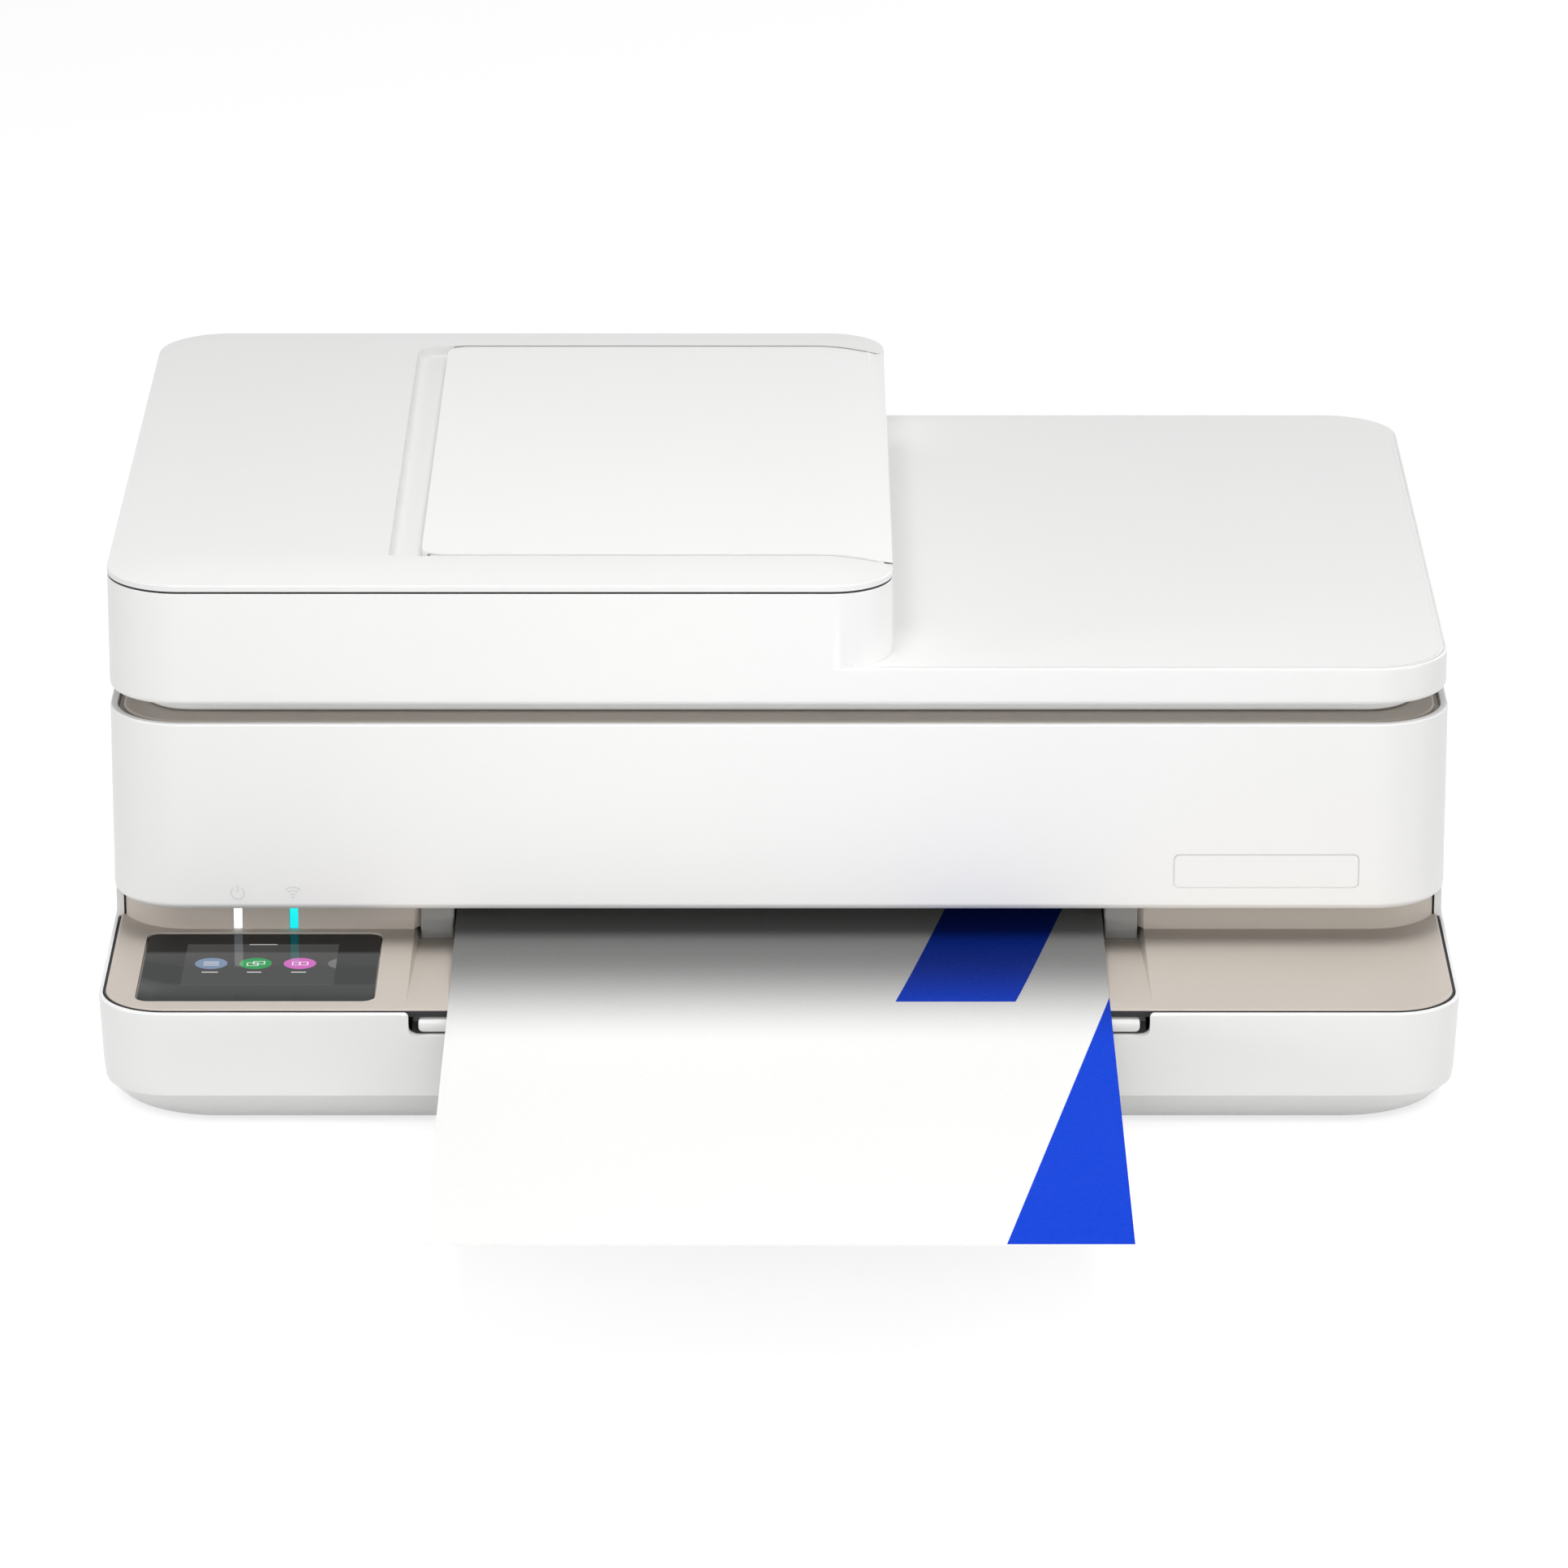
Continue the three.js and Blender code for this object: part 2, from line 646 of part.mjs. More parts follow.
// A grey block at each end of the slot, joined over the paper by a bar with spur wheels.
function exitBridge() {
  const blocks = [-1, 1].map((side) => {
    const outer = BAY_HALF_WIDTH - GAP;
    const [x0, x1] = span(side, outer - BLOCK_WIDTH, outer);
    return box(x0, x1, NECK_Y, BAY_BACK_Y, DECK_Z - BAY_DROP + GAP, NECK_TOP);
  });
  const end = BAY_HALF_WIDTH - GAP;
  const bar = box(-end, end, BAY_BACK_Y - 1, EXIT_Y + 2, NECK_TOP - 1.2, NECK_TOP);
  const wheelZ = EXIT_Z + EXIT_RADIUS + SHEET_THICKNESS + 2 * GAP + SPUR_RADIUS;
  const wheels = [-3, -1, 1, 3].flatMap((step) => {
    const x = step * SPUR_PITCH;
    const bracket = box(x - 3, x + 3, EXIT_Y - 1.5, EXIT_Y + 1.5, wheelZ, NECK_TOP);
    return [bracket, rod("x", SPUR_RADIUS, x - 0.8, x + 0.8, [EXIT_Y, wheelZ], 12)];
  });
  return toMesh("exit_bridge", joined([...blocks, bar, ...wheels]), plastic(GREY));
}

// ---------- upper unit: front cover, scanner bed and scan bar ----------

const BED_TOP = COVER_TOP - BED_DROP;
const BED_UNDER = BED_TOP - BED_PLATE;
const SCAN_MIDDLE_Y = (SCAN_FRONT + SCAN_BACK) / 2;
const STRIP_MIDDLE_X = (STRIP_LEFT + STRIP_RIGHT) / 2;
const SCAN_ROD = [SCAN_MIDDLE_Y, TUB_BOTTOM + TUB_WALL + SLIP + SCAN_ROD_RADIUS + 1.2];

function coverShape() {
  return {
    left: -COVER_WIDTH / 2,
    right: COVER_WIDTH / 2,
    front: COVER_FRONT,
    back: COVER_BACK,
    radii: [COVER_CORNER, COVER_CORNER, COVER_CORNER, COVER_CORNER],
  };
}

function frontCover() {
  const shape = coverShape();
  const outer = loft([
    [COVER_BOTTOM, drawnIn(shape, 1.6)],
    [COVER_BOTTOM + 0.7, drawnIn(shape, 0.6)],
    [COVER_BOTTOM + 2.3, shape],
    [COVER_TOP - 1.3, shape],
    [COVER_TOP - 0.3, drawnIn(shape, 0.3)],
    [COVER_TOP, drawnIn(shape, 1)],
  ]);
  const hollow = slab(drawnIn(shape, COVER_WALL), 0, FAR);
  const plateX = COVER_WIDTH / 2 - PLATE_INSET;
  const recess = rectangle({
    left: plateX - PLATE_WIDTH / 2,
    right: plateX + PLATE_WIDTH / 2,
    front: PLATE_Z - PLATE_HEIGHT / 2,
    back: PLATE_Z + PLATE_HEIGHT / 2,
    radii: [2, 2, 2, 2],
  });
  const notches = [-1, 1].map((side) => {
    const [x0, x1] = span(side, HINGE_X - 5 - HINGE_POST_WIDTH, HINGE_X - 3);
    return box(x0, x1, HINGE_Y - HINGE_POST_DEPTH - 2, FAR, 0, HINGE_Z + HINGE_RADIUS + 2);
  });
  const ears = [-1, 1].map((side) => {
    const [x0, x1] = span(side, HINGE_X, HINGE_X + HINGE_EAR);
    const reach = HINGE_RADIUS + 3;
    const ear = box(x0, x1, HINGE_Y - reach, COVER_BACK - 1, COVER_BOTTOM + 0.7, HINGE_Z + reach);
    return ear.subtract(rod("x", HINGE_RADIUS + RUNNING, x0 - 1, x1 + 1, [HINGE_Y, HINGE_Z]));
  });
  const plate = prismY(recess, 0, COVER_FRONT + PLATE_DEPTH);
  const cover = joined([without(outer, [hollow, plate, ...notches]), ...ears]);
  return toMesh("front_cover", cover, plastic(WHITE));
}

function upperHinges() {
  return [-1, 1].map((side) => {
    const [x0, x1] = span(side, HINGE_X - 4 - HINGE_POST_WIDTH, HINGE_X - 4);
    const [p0, p1] = span(side, HINGE_X - 5, HINGE_X + HINGE_EAR + 2);
    const foot = CASE_BOTTOM + 2 * GAP + PAN_THICKNESS;
    const radius = HINGE_RADIUS + 1;
    const post = box(x0, x1, HINGE_Y - HINGE_POST_DEPTH, HINGE_Y + 1, foot, HINGE_Z - radius);
    const neck = box(x0, x1, HINGE_Y - radius, HINGE_Y + radius, HINGE_Z - radius - 4, HINGE_Z);
    const head = rod("x", radius, x0, x1, [HINGE_Y, HINGE_Z]);
    const pin = rod("x", HINGE_RADIUS, p0, p1, [HINGE_Y, HINGE_Z]);
    const name = side < 0 ? "upper_hinge_left" : "upper_hinge_right";
    return toMesh(name, joined([post, neck, head, pin]), metal(STEEL));
  });
}

function paneBox(left, right, lap, z0, z1) {
  return box(left - lap, right + lap, SCAN_FRONT - lap, SCAN_BACK + lap, z0, z1);
}

function postBox(side, room, z0, z1) {
  const [x0, x1] = span(side, POST_X - POST_WIDTH / 2 - room, POST_X + POST_WIDTH / 2 + room);
  return box(x0, x1, POST_Y - POST_DEPTH / 2 - room, POST_Y + POST_DEPTH / 2 + room, z0, z1);
}

function scannerBed() {
  const flange = drawnIn(coverShape(), COVER_WALL + GAP);
  const face = drawnIn(coverShape(), COVER_WALL + BED_SEAM);
  const edge = 0.5;
  const step = BED_TOP - 2;
  const plate = loft([
    [BED_UNDER, flange],
    [step - 0.1, flange],
    [step, face],
    [BED_TOP - edge, face],
    [BED_TOP, drawnIn(face, edge)],
  ]);
  const tub = box(-TUB_HALF_WIDTH, TUB_HALF_WIDTH, TUB_FRONT, TUB_BACK, TUB_BOTTOM, BED_UNDER + 0.5);
  const wall = TUB_WALL;
  const inside = box(
    wall - TUB_HALF_WIDTH,
    TUB_HALF_WIDTH - wall,
    TUB_FRONT + wall,
    TUB_BACK - wall,
    TUB_BOTTOM + wall,
    BED_UNDER,
  );
  const seat = BED_TOP - PANE_THICKNESS - 2 * GAP;
  const rail = rod("x", SCAN_ROD_RADIUS, -TUB_HALF_WIDTH + 1, TUB_HALF_WIDTH - 1, SCAN_ROD);
  const bed = without(plate.add(tub), [
    inside,
    paneBox(SCAN_LEFT, SCAN_RIGHT, 0, BED_UNDER - 1, FAR),
    paneBox(STRIP_LEFT, STRIP_RIGHT, 0, BED_UNDER - 1, FAR),
    paneBox(STRIP_LEFT, SCAN_RIGHT, PANE_LAP + GAP, seat, FAR),
    ...[-1, 1].map((side) => postBox(side, SLIP, 0, FAR)),
  ]);
  const top = BED_TOP - GAP;
  const pane = paneBox(STRIP_LEFT, SCAN_RIGHT, PANE_LAP, top - PANE_THICKNESS, top);
  return [
    toMesh("scanner_bed", bed.add(rail), plastic(BEIGE)),
    toMesh("scanner_glass", pane, plastic(0xdfe8e6, 0.05)),
  ];
}

function scanBar() {
  const half = SCAN_BAR_WIDTH / 2;
  const top = BED_UNDER - 1;
  const low = TUB_BOTTOM + TUB_WALL + SLIP;
  const [x0, x1] = [STRIP_MIDDLE_X - half, STRIP_MIDDLE_X + half];
  const bar = box(x0, x1, SCAN_FRONT - 8, SCAN_BACK + 8, top - SCAN_BAR_HEIGHT, top);
  const saddle = box(x0, x1, SCAN_MIDDLE_Y - half, SCAN_MIDDLE_Y + half, low, top - 1);
  const bore = rod("x", SCAN_ROD_RADIUS + RUNNING, -FAR, FAR, SCAN_ROD);
  return toMesh("scan_bar", bar.add(saddle).subtract(bore), plastic(DARK));
}

// ---------- lid ----------

function lidShape() {
  return { ...coverShape(), right: LID_RIGHT };
}

function lipShape() {
  return {
    left: LIP_LEFT,
    right: LIP_RIGHT,
    front: LIP_FRONT,
    back: LIP_BACK,
    radii: [LIP_CORNER, LIP_CORNER, LIP_CORNER, LIP_CORNER],
  };
}

function feederShape() {
  const shape = lidShape();
  const radii = [COVER_CORNER, FEEDER_CORNER, FEEDER_CORNER, COVER_CORNER];
  return { ...shape, right: FEEDER_RIGHT, radii };
}

// The back edge of the lid rolls down over a wide, soft curve.
function lidSlab() {
  const shape = lidShape();
  return loft([
    [LID_BOTTOM, drawnIn(shape, 1)],
    [LID_BOTTOM + 0.7, drawnIn(shape, 0.3)],
    [LID_BOTTOM + 2, shape],
    [LID_TOP - 3, shape],
    [LID_TOP - 2, drawnIn(shape, 0, 0, 1.5)],
    [LID_TOP - 1, drawnIn(shape, 0, 0, 5)],
    [LID_TOP - 0.35, drawnIn(shape, 0.35, 0.35, 9)],
    [LID_TOP, drawnIn(shape, 1, 1, 15)],
  ]);
}

function lidShell() {
  const body = loft([
    [LID_BOTTOM + 3, feederShape()],
    [FEEDER_SEAM - 0.4, feederShape()],
    [FEEDER_SEAM, drawnIn(feederShape(), 0.4)],
  ]);
  const under = LID_TOP - LID_WALL;
  const below = slab(drawnIn(lidShape(), LID_WALL, LID_WALL, LID_WALL + 3), 0, under);
  const above = slab(drawnIn(feederShape(), FEEDER_WALL), LID_TOP + GAP, FAR);
  const swing = FLAP_AXIS_Z - 7.2;
  const reach = LID_AXIS_Z + POST_DEPTH / 2 + 0.4;
  const cutters = [
    below,
    above,
    box(0, FAR, FLAP_FRONT - SLIP, FLAP_BACK + SLIP, swing, FAR),
    box(0, FAR, SCAN_FRONT, SCAN_BACK, EXIT_BOTTOM, EXIT_TOP),
    ...[-1, 1].map((side) => {
      const [x0, x1] = span(side, POST_X - POST_WIDTH / 2 - SLIP, POST_X + POST_WIDTH / 2 + SLIP);
      return box(x0, x1, POST_Y - POST_DEPTH, FAR, 0, reach);
    }),
  ];
  const ears = [-1, 1].flatMap((side) =>
    [-1, 1].map((end) => {
      const near = POST_WIDTH / 2 + SLIP;
      const [dx0, dx1] = span(end, near, near + 2.5);
      const x = side * POST_X;
      const y0 = POST_Y - POST_DEPTH / 2;
      return box(x + dx0, x + dx1, y0, POST_Y + POST_DEPTH / 2, LID_AXIS_Z - 3.5, under + 0.5);
    }),
  );
  const pins = [-1, 1].map((side) => {
    const reach = POST_WIDTH / 2 + SLIP + 2;
    const x = side * POST_X;
    return rod("x", LID_PIN_RADIUS, x - reach, x + reach, [POST_Y, LID_AXIS_Z], 12);
  });
  const shell = without(lidSlab().add(body), cutters);
  return toMesh("lid_shell", joined([shell, ...ears, ...pins]), plastic(WHITE));
}

function lidParts() {
  const underside = COVER_TOP + 0.1;
  const lip = slab(lipShape(), underside, LID_BOTTOM + 1);
  const inside = drawnIn(lidShape(), LID_WALL + GAP, LID_WALL + GAP, LID_WALL + 3 + GAP);
  const flange = slab(inside, LID_BOTTOM + 0.4, LID_BOTTOM + 2.4);
  const padTop = underside + PAD_THICKNESS;
  const room = [-1, 1].map((side) => {
    const [x0, x1] = span(side, POST_X - POST_WIDTH / 2 - 4, POST_X + POST_WIDTH / 2 + 4);
    return box(x0, x1, POST_Y - POST_DEPTH / 2 - 5, FAR, 0, FAR);
  });
  const recess = paneBox(SCAN_LEFT, SCAN_RIGHT, 1 + GAP, 0, padTop + GAP);
  const drum = box(STRIP_LEFT, STRIP_RIGHT, SCAN_FRONT, SCAN_BACK, 0, padTop);
  const frame = without(lip.add(flange), [...room, recess, drum]);
  const pad = paneBox(SCAN_LEFT, SCAN_RIGHT, 1, underside, padTop);
  return [
    toMesh("lid_frame", frame, plastic(GREY)),
    toMesh("lid_pad", pad, plastic(0xf6f6f4, 0.9)),
  ];
}

function lidPosts() {
  return [-1, 1].map((side) => {
    const [x0, x1] = span(side, POST_X - POST_WIDTH / 2, POST_X + POST_WIDTH / 2);
    const head = rod("x", POST_DEPTH / 2, x0, x1, [POST_Y, LID_AXIS_Z]);
    const bore = rod("x", LID_PIN_RADIUS + RUNNING, -FAR, FAR, [POST_Y, LID_AXIS_Z], 12);
    const post = postBox(side, 0, POST_BOTTOM, LID_AXIS_Z).add(head).subtract(bore);
    return toMesh(side < 0 ? "lid_post_left" : "lid_post_right", post, plastic(GREY));
  });
}

// ---------- sheet feeder ----------

const FLAP_AXIS_X = FEEDER_RIGHT - FLAP_AXIS_INSET;
const FEEDER_MIDDLE_Y = (FLAP_FRONT + FLAP_BACK) / 2;
const LUG = 4;

// The pillowed top: a wide roll from the crisp edge up to the flat middle.
function pillow(bottom, lift) {
  const steps = 5;
  const levels = Array.from({ length: steps + 1 }, (_, i) => {
    const share = i / steps;
    const rise = (FEEDER_TOP - FEEDER_EDGE) * Math.sin((share * Math.PI) / 2);
    return [FEEDER_EDGE + lift + rise, drawnIn(feederShape(), FEEDER_ROLL * share)];
  });
  return loft([[bottom, feederShape()], ...levels]);
}

function flapShape(grow, groove) {
  const radius = FLAP_CORNER + groove / 2;
  return {
    left: FLAP_LEFT - grow - groove,
    right: FAR,
    front: FLAP_FRONT - grow,
    back: FLAP_BACK + grow,
    radii: [groove ? 2 : radius, 0.4, 0.4, radius],
  };
}

function feederCover() {
  const bottom = FEEDER_SEAM + FEEDER_SEAM_GAP;
  const ceiling = FEEDER_EDGE + 0.9;
  const hollow = slab(drawnIn(feederShape(), FEEDER_ROLL / 2), 0, ceiling);
  const shelfEnd = FLAP_LEFT + 2;
  const shelf = box(
    FLAP_LEFT - GROOVE_WIDTH - 2,
    shelfEnd,
    FLAP_FRONT - 2,
    FLAP_BACK + 2,
    bottom,
    ceiling + 0.5,
  );
  const lugs = [FLAP_FRONT - GAP - LUG, FLAP_BACK + GAP].map((y) =>
    box(FLAP_AXIS_X - 5, FLAP_AXIS_X + 3, y, y + LUG, FLAP_AXIS_Z - LUG, FEEDER_EDGE + 1),
  );
  const axis = [FLAP_AXIS_X, FLAP_AXIS_Z];
  const holes = rod("y", 1.4 + RUNNING, FLAP_FRONT - LUG - 1, FLAP_BACK + LUG + 1, axis, 12);
  const top = pillow(bottom, 0).subtract(hollow).add(shelf);
  const open = without(top, [
    slab(flapShape(GAP, GROOVE_WIDTH), bottom + GROOVE_FLOOR, FAR),
    box(shelfEnd, FAR, FLAP_FRONT - GAP, FLAP_BACK + GAP, 0, FAR),
  ]);
  const cover = joined([open, ...lugs]).subtract(holes);
  return toMesh("feeder_cover", cover, plastic(WHITE));
}

function feederFlap() {
  const under = FEEDER_SEAM + FEEDER_SEAM_GAP + GROOVE_FLOOR + GAP;
  const sheet = pillow(under, FLAP_PROUD).intersect(slab(flapShape(0, 0), 0, FAR));
  const right = FEEDER_RIGHT - GAP;
  const skirt = box(right - 3, right, FLAP_FRONT, FLAP_BACK, FLAP_SKIRT, FEEDER_EDGE + 0.2);
  const barrel = rod("y", 2.2, FLAP_FRONT, FLAP_BACK, [FLAP_AXIS_X, FLAP_AXIS_Z], 12);
  const pins = rod("y", 1.4, FLAP_FRONT - LUG, FLAP_BACK + LUG, [FLAP_AXIS_X, FLAP_AXIS_Z], 12);
  return toMesh("feeder_flap", joined([sheet, skirt, barrel, pins]), plastic(WHITE));
}

function feederInside() {
  const floor = LID_TOP + 2 * GAP;
  const front = COVER_FRONT + FEEDER_CORNER;
  const back = COVER_BACK - FEEDER_CORNER;
  const right = FEEDER_RIGHT - FEEDER_WALL - SLIP;
  const slope = [
    [RAMP_LEFT, RAMP_LOW],
    [right, RAMP_LOW + RAMP_RISE],
    [right, RAMP_LOW + RAMP_RISE + RAMP_THICKNESS],
    [RAMP_LEFT, RAMP_LOW + RAMP_THICKNESS],
  ];
  const legs = [front, back - 3].map((y) => box(RAMP_LEFT, 0, y, y + 3, floor, RAMP_LOW + 1));
  const ramp = joined([prismY(slope, front, back), ...legs]);
  const over = (x) => RAMP_LOW + RAMP_THICKNESS + (RAMP_RISE * (x - RAMP_LEFT)) / (right - RAMP_LEFT);
  const guideTop = RAMP_LOW + RAMP_RISE + RAMP_THICKNESS + GUIDE_HEIGHT;
  const guides = [-1, 1].map((side) => {
    const [dy0, dy1] = span(side, FEED_WIDTH / 2 + GAP, FEED_WIDTH / 2 + GAP + 2.4);
    const x = RAMP_LEFT / 2 + 4;
    const [x0, x1] = [x - GUIDE_LENGTH / 2, x + GUIDE_LENGTH / 2];
    const profile = [
      [x0, over(x0) + GAP],
      [x1, over(x1) + GAP],
      [x1, guideTop],
      [x0, guideTop],
    ];
    const made = prismY(profile, FEEDER_MIDDLE_Y + dy0, FEEDER_MIDDLE_Y + dy1);
    return toMesh(side < 0 ? "feeder_guide_front" : "feeder_guide_rear", made, plastic(GREY));
  });
  const centre = [SEPARATOR_X, SEPARATOR_Z];
  const shaftEnd = COVER_FRONT + FEEDER_WALL + GAP;
  const shaft = rod("y", 2.5, shaftEnd, COVER_BACK - FEEDER_WALL - GAP, centre, 12);
  const half = SEPARATOR_LENGTH / 2;
  const tyre = rod("y", SEPARATOR_RADIUS, FEEDER_MIDDLE_Y - half, FEEDER_MIDDLE_Y + half, centre);
  return [
    toMesh("feeder_ramp", ramp, plastic(WHITE)),
    ...guides,
    toMesh("feeder_roller", shaft.add(tyre), plastic(DARK, 0.9)),
  ];
}

// ---------- paper drawer ----------

const TRAY_BOTTOM = CASE_BOTTOM + GAP + PAN_THICKNESS + SLIP;
const STACK_BOTTOM = TRAY_BOTTOM + TRAY_FLOOR + SLIP;
const STACK_TOP = STACK_BOTTOM + STACK_HEIGHT;
const STACK_BACK = STACK_FRONT + PAPER_LENGTH;
const NOTCH_Z = CASE_RIM - NOTCH_DEPTH;

function extenderTop() {
  return NOTCH_Z + SLIP + EXTENDER_LIP;
}

function drawerFront() {
  const shell = without(loft(caseLevels()), [caseCavity(), rimRebate()]);
  const notch = rectangle({
    left: -BAY_HALF_WIDTH,
    right: BAY_HALF_WIDTH,
    front: NOTCH_Z,
    back: CASE_RIM + 20,
    radii: [NOTCH_CORNER, NOTCH_CORNER, NOTCH_CORNER, NOTCH_CORNER],
  });
  const front = shell
    .subtract(box(-FAR, FAR, DRAWER_SEAM_Y, FAR, -FAR, FAR))
    .subtract(prismY(notch, -1, DRAWER_SEAM_Y));
  return toMesh("drawer_front", front, plastic(WHITE));
}

function drawerInside() {
  const outer = TRAY_HALF_WIDTH;
  const inner = outer - TRAY_WALL;
  const innerBack = STACK_BACK + TRAY_BACK_ROOM;
  const innerFront = STACK_FRONT - SLIP;
  const floorTop = TRAY_BOTTOM + TRAY_FLOOR;
  const arms = [-1, 1].map((side) => {
    const [x0, x1] = span(side, outer - 20, outer);
    return box(x0, x1, CASE_WALL + GAP, innerFront, PLINTH_TOP + 6, NOTCH_Z - 2);
  });
  const shell = box(-outer, outer, innerFront - TRAY_WALL, innerBack + TRAY_WALL, TRAY_BOTTOM, TRAY_TOP);
  const tray = joined([shell, ...arms])
    .subtract(box(-inner, inner, innerFront, innerBack, floorTop, FAR))
    .subtract(box(-FAR, FAR, innerBack - 1, FAR, STACK_TOP, FAR));
  const stack = box(
    -PAPER_WIDTH / 2,
    PAPER_WIDTH / 2,
    STACK_FRONT,
    STACK_BACK,
    STACK_BOTTOM,
    STACK_TOP,
  );
  const guideBottom = floorTop + GAP;
  const guideTop = STACK_TOP - 1;
  const [y0, y1] = [-1, 1].map((end) => (STACK_FRONT + STACK_BACK + end * TRAY_GUIDE_LENGTH) / 2);
  const sides = [-1, 1].map((side) => {
    const [x0, x1] = span(side, PAPER_WIDTH / 2 + GAP, PAPER_WIDTH / 2 + GAP + TRAY_GUIDE);
    const guide = box(x0, x1, y0, y1, guideBottom, guideTop);
    return toMesh(side < 0 ? "paper_guide_left" : "paper_guide_right", guide, plastic(GREY));
  });
  const y = STACK_BACK + GAP;
  const half = TRAY_GUIDE_WIDTH / 2;
  const rear = box(-half, half, y, y + TRAY_GUIDE, guideBottom, guideTop);
  return [
    toMesh("paper_tray", tray, plastic(GREY)),
    toMesh("paper_stack", stack, plastic(0xfbfbfa, 0.9)),
    ...sides,
    toMesh("paper_guide_rear", rear, plastic(GREY)),
  ];
}

function outputExtender() {
  const bottom = NOTCH_Z + SLIP;
  const end = BAY_HALF_WIDTH - EXTENDER_BAY_GAP;
  const lip = {
    left: -end,
    right: end,
    front: bottom,
    back: extenderTop(),
    radii: [2, 2, 1.2, 1.2],
  };
  const half = end - 18;
  const plate = box(-half, half, 2, EXTENDER_LENGTH, bottom + 0.3, bottom + 0.3 + EXTENDER_PLATE);
  const made = prismY(rectangle(lip), 1, 1 + EXTENDER_LIP_DEPTH).add(plate);
  return toMesh("output_extender", made, plastic(WHITE));
}

// ---------- paper path ----------

function printedSheet() {
  const nip = new THREE.Vector2(EXIT_Y + 0.5, EXIT_Z + EXIT_RADIUS + GAP);
  const rest = new THREE.Vector2(0, SHEET_LEVEL);
  const curve = new THREE.CubicBezierCurve(
    nip,
    new THREE.Vector2(nip.x * 0.62, nip.y - 2.6),
    new THREE.Vector2(nip.x * 0.3, SHEET_LEVEL),
    rest,
  );
  const front = new THREE.Vector2(curve.getLength() - PAPER_LENGTH, SHEET_LEVEL);
  const under = [...curve.getPoints(8), front].map(({ x, y }) => [x, y]);
  const over = under.map(([y, z]) => [y, z + SHEET_THICKNESS]).reverse();
  const sheet = prismX([...under, ...over], -PAPER_WIDTH / 2, PAPER_WIDTH / 2);
  return toMesh("printed_sheet", sheet, plastic(0xffffff, 0.8));
}

// Teeth are narrower than their gaps, so that meshing gears never touch.
function gear(teeth, phase, x0, x1, [y, z]) {
  const pitch = (2 * Math.PI) / teeth;
  const radius = (GEAR_MODULE * teeth) / 2;
  const root = radius - 1.25 * GEAR_MODULE;
  const tip = radius + 0.8 * GEAR_MODULE;
  const corners = [
    [-0.27, root],
    [-0.1, tip],
    [0.1, tip],
    [0.27, root],
  ];
  const points = Array.from({ length: teeth }, (_, i) => phase + i * pitch).flatMap((middle) =>
    corners.map(([share, reach]) => {
      const angle = middle + share * pitch;
      return [y + reach * Math.cos(angle), z + reach * Math.sin(angle)];
    }),
  );
  return prismX(points, x0, x1);
}

function pitchRadius(teeth) {
  return (GEAR_MODULE * teeth) / 2;
}

// The phase that puts a gap of the second gear opposite a tooth of the first.
function meshPhase([ya, za], teethA, phaseA, [yb, zb], teethB) {
  const towards = Math.atan2(zb - za, yb - ya);
  const share = ((towards - phaseA) * teethA) / (2 * Math.PI);
  return towards + Math.PI - ((0.5 - share) * 2 * Math.PI) / teethB;
}

// The centre of a gear that meshes with two others, above the line between them.
function meshCentre([ya, za], distanceA, [yb, zb], distanceB) {
  const apart = Math.hypot(yb - ya, zb - za);
  const along = (distanceA ** 2 - distanceB ** 2 + apart ** 2) / (2 * apart);
  const aside = Math.sqrt(distanceA ** 2 - along ** 2);
  const [uy, uz] = [(yb - ya) / apart, (zb - za) / apart];
  return [ya + uy * along + uz * aside, za + uz * along - uy * aside];
}

const FEED_CENTRE = [FEED_Y, FEED_Z];
const EXIT_CENTRE = [EXIT_Y, EXIT_Z];
const TRANSFER_CENTRE = meshCentre(
  FEED_CENTRE,
  pitchRadius(FEED_TEETH) + pitchRadius(TRANSFER_TEETH),
  EXIT_CENTRE,
  pitchRadius(EXIT_TEETH) + pitchRadius(TRANSFER_TEETH),
);
const PINION_REACH = pitchRadius(FEED_TEETH) + pitchRadius(PINION_TEETH);
const PINION_CENTRE = [
  FEED_Y + PINION_REACH * Math.cos(PINION_ANGLE * TURN),
  FEED_Z + PINION_REACH * Math.sin(PINION_ANGLE * TURN),
];
const GEAR_X1 = -FRAME_HALF_WIDTH - GAP;
const GEAR_X0 = GEAR_X1 - GEAR_WIDTH;

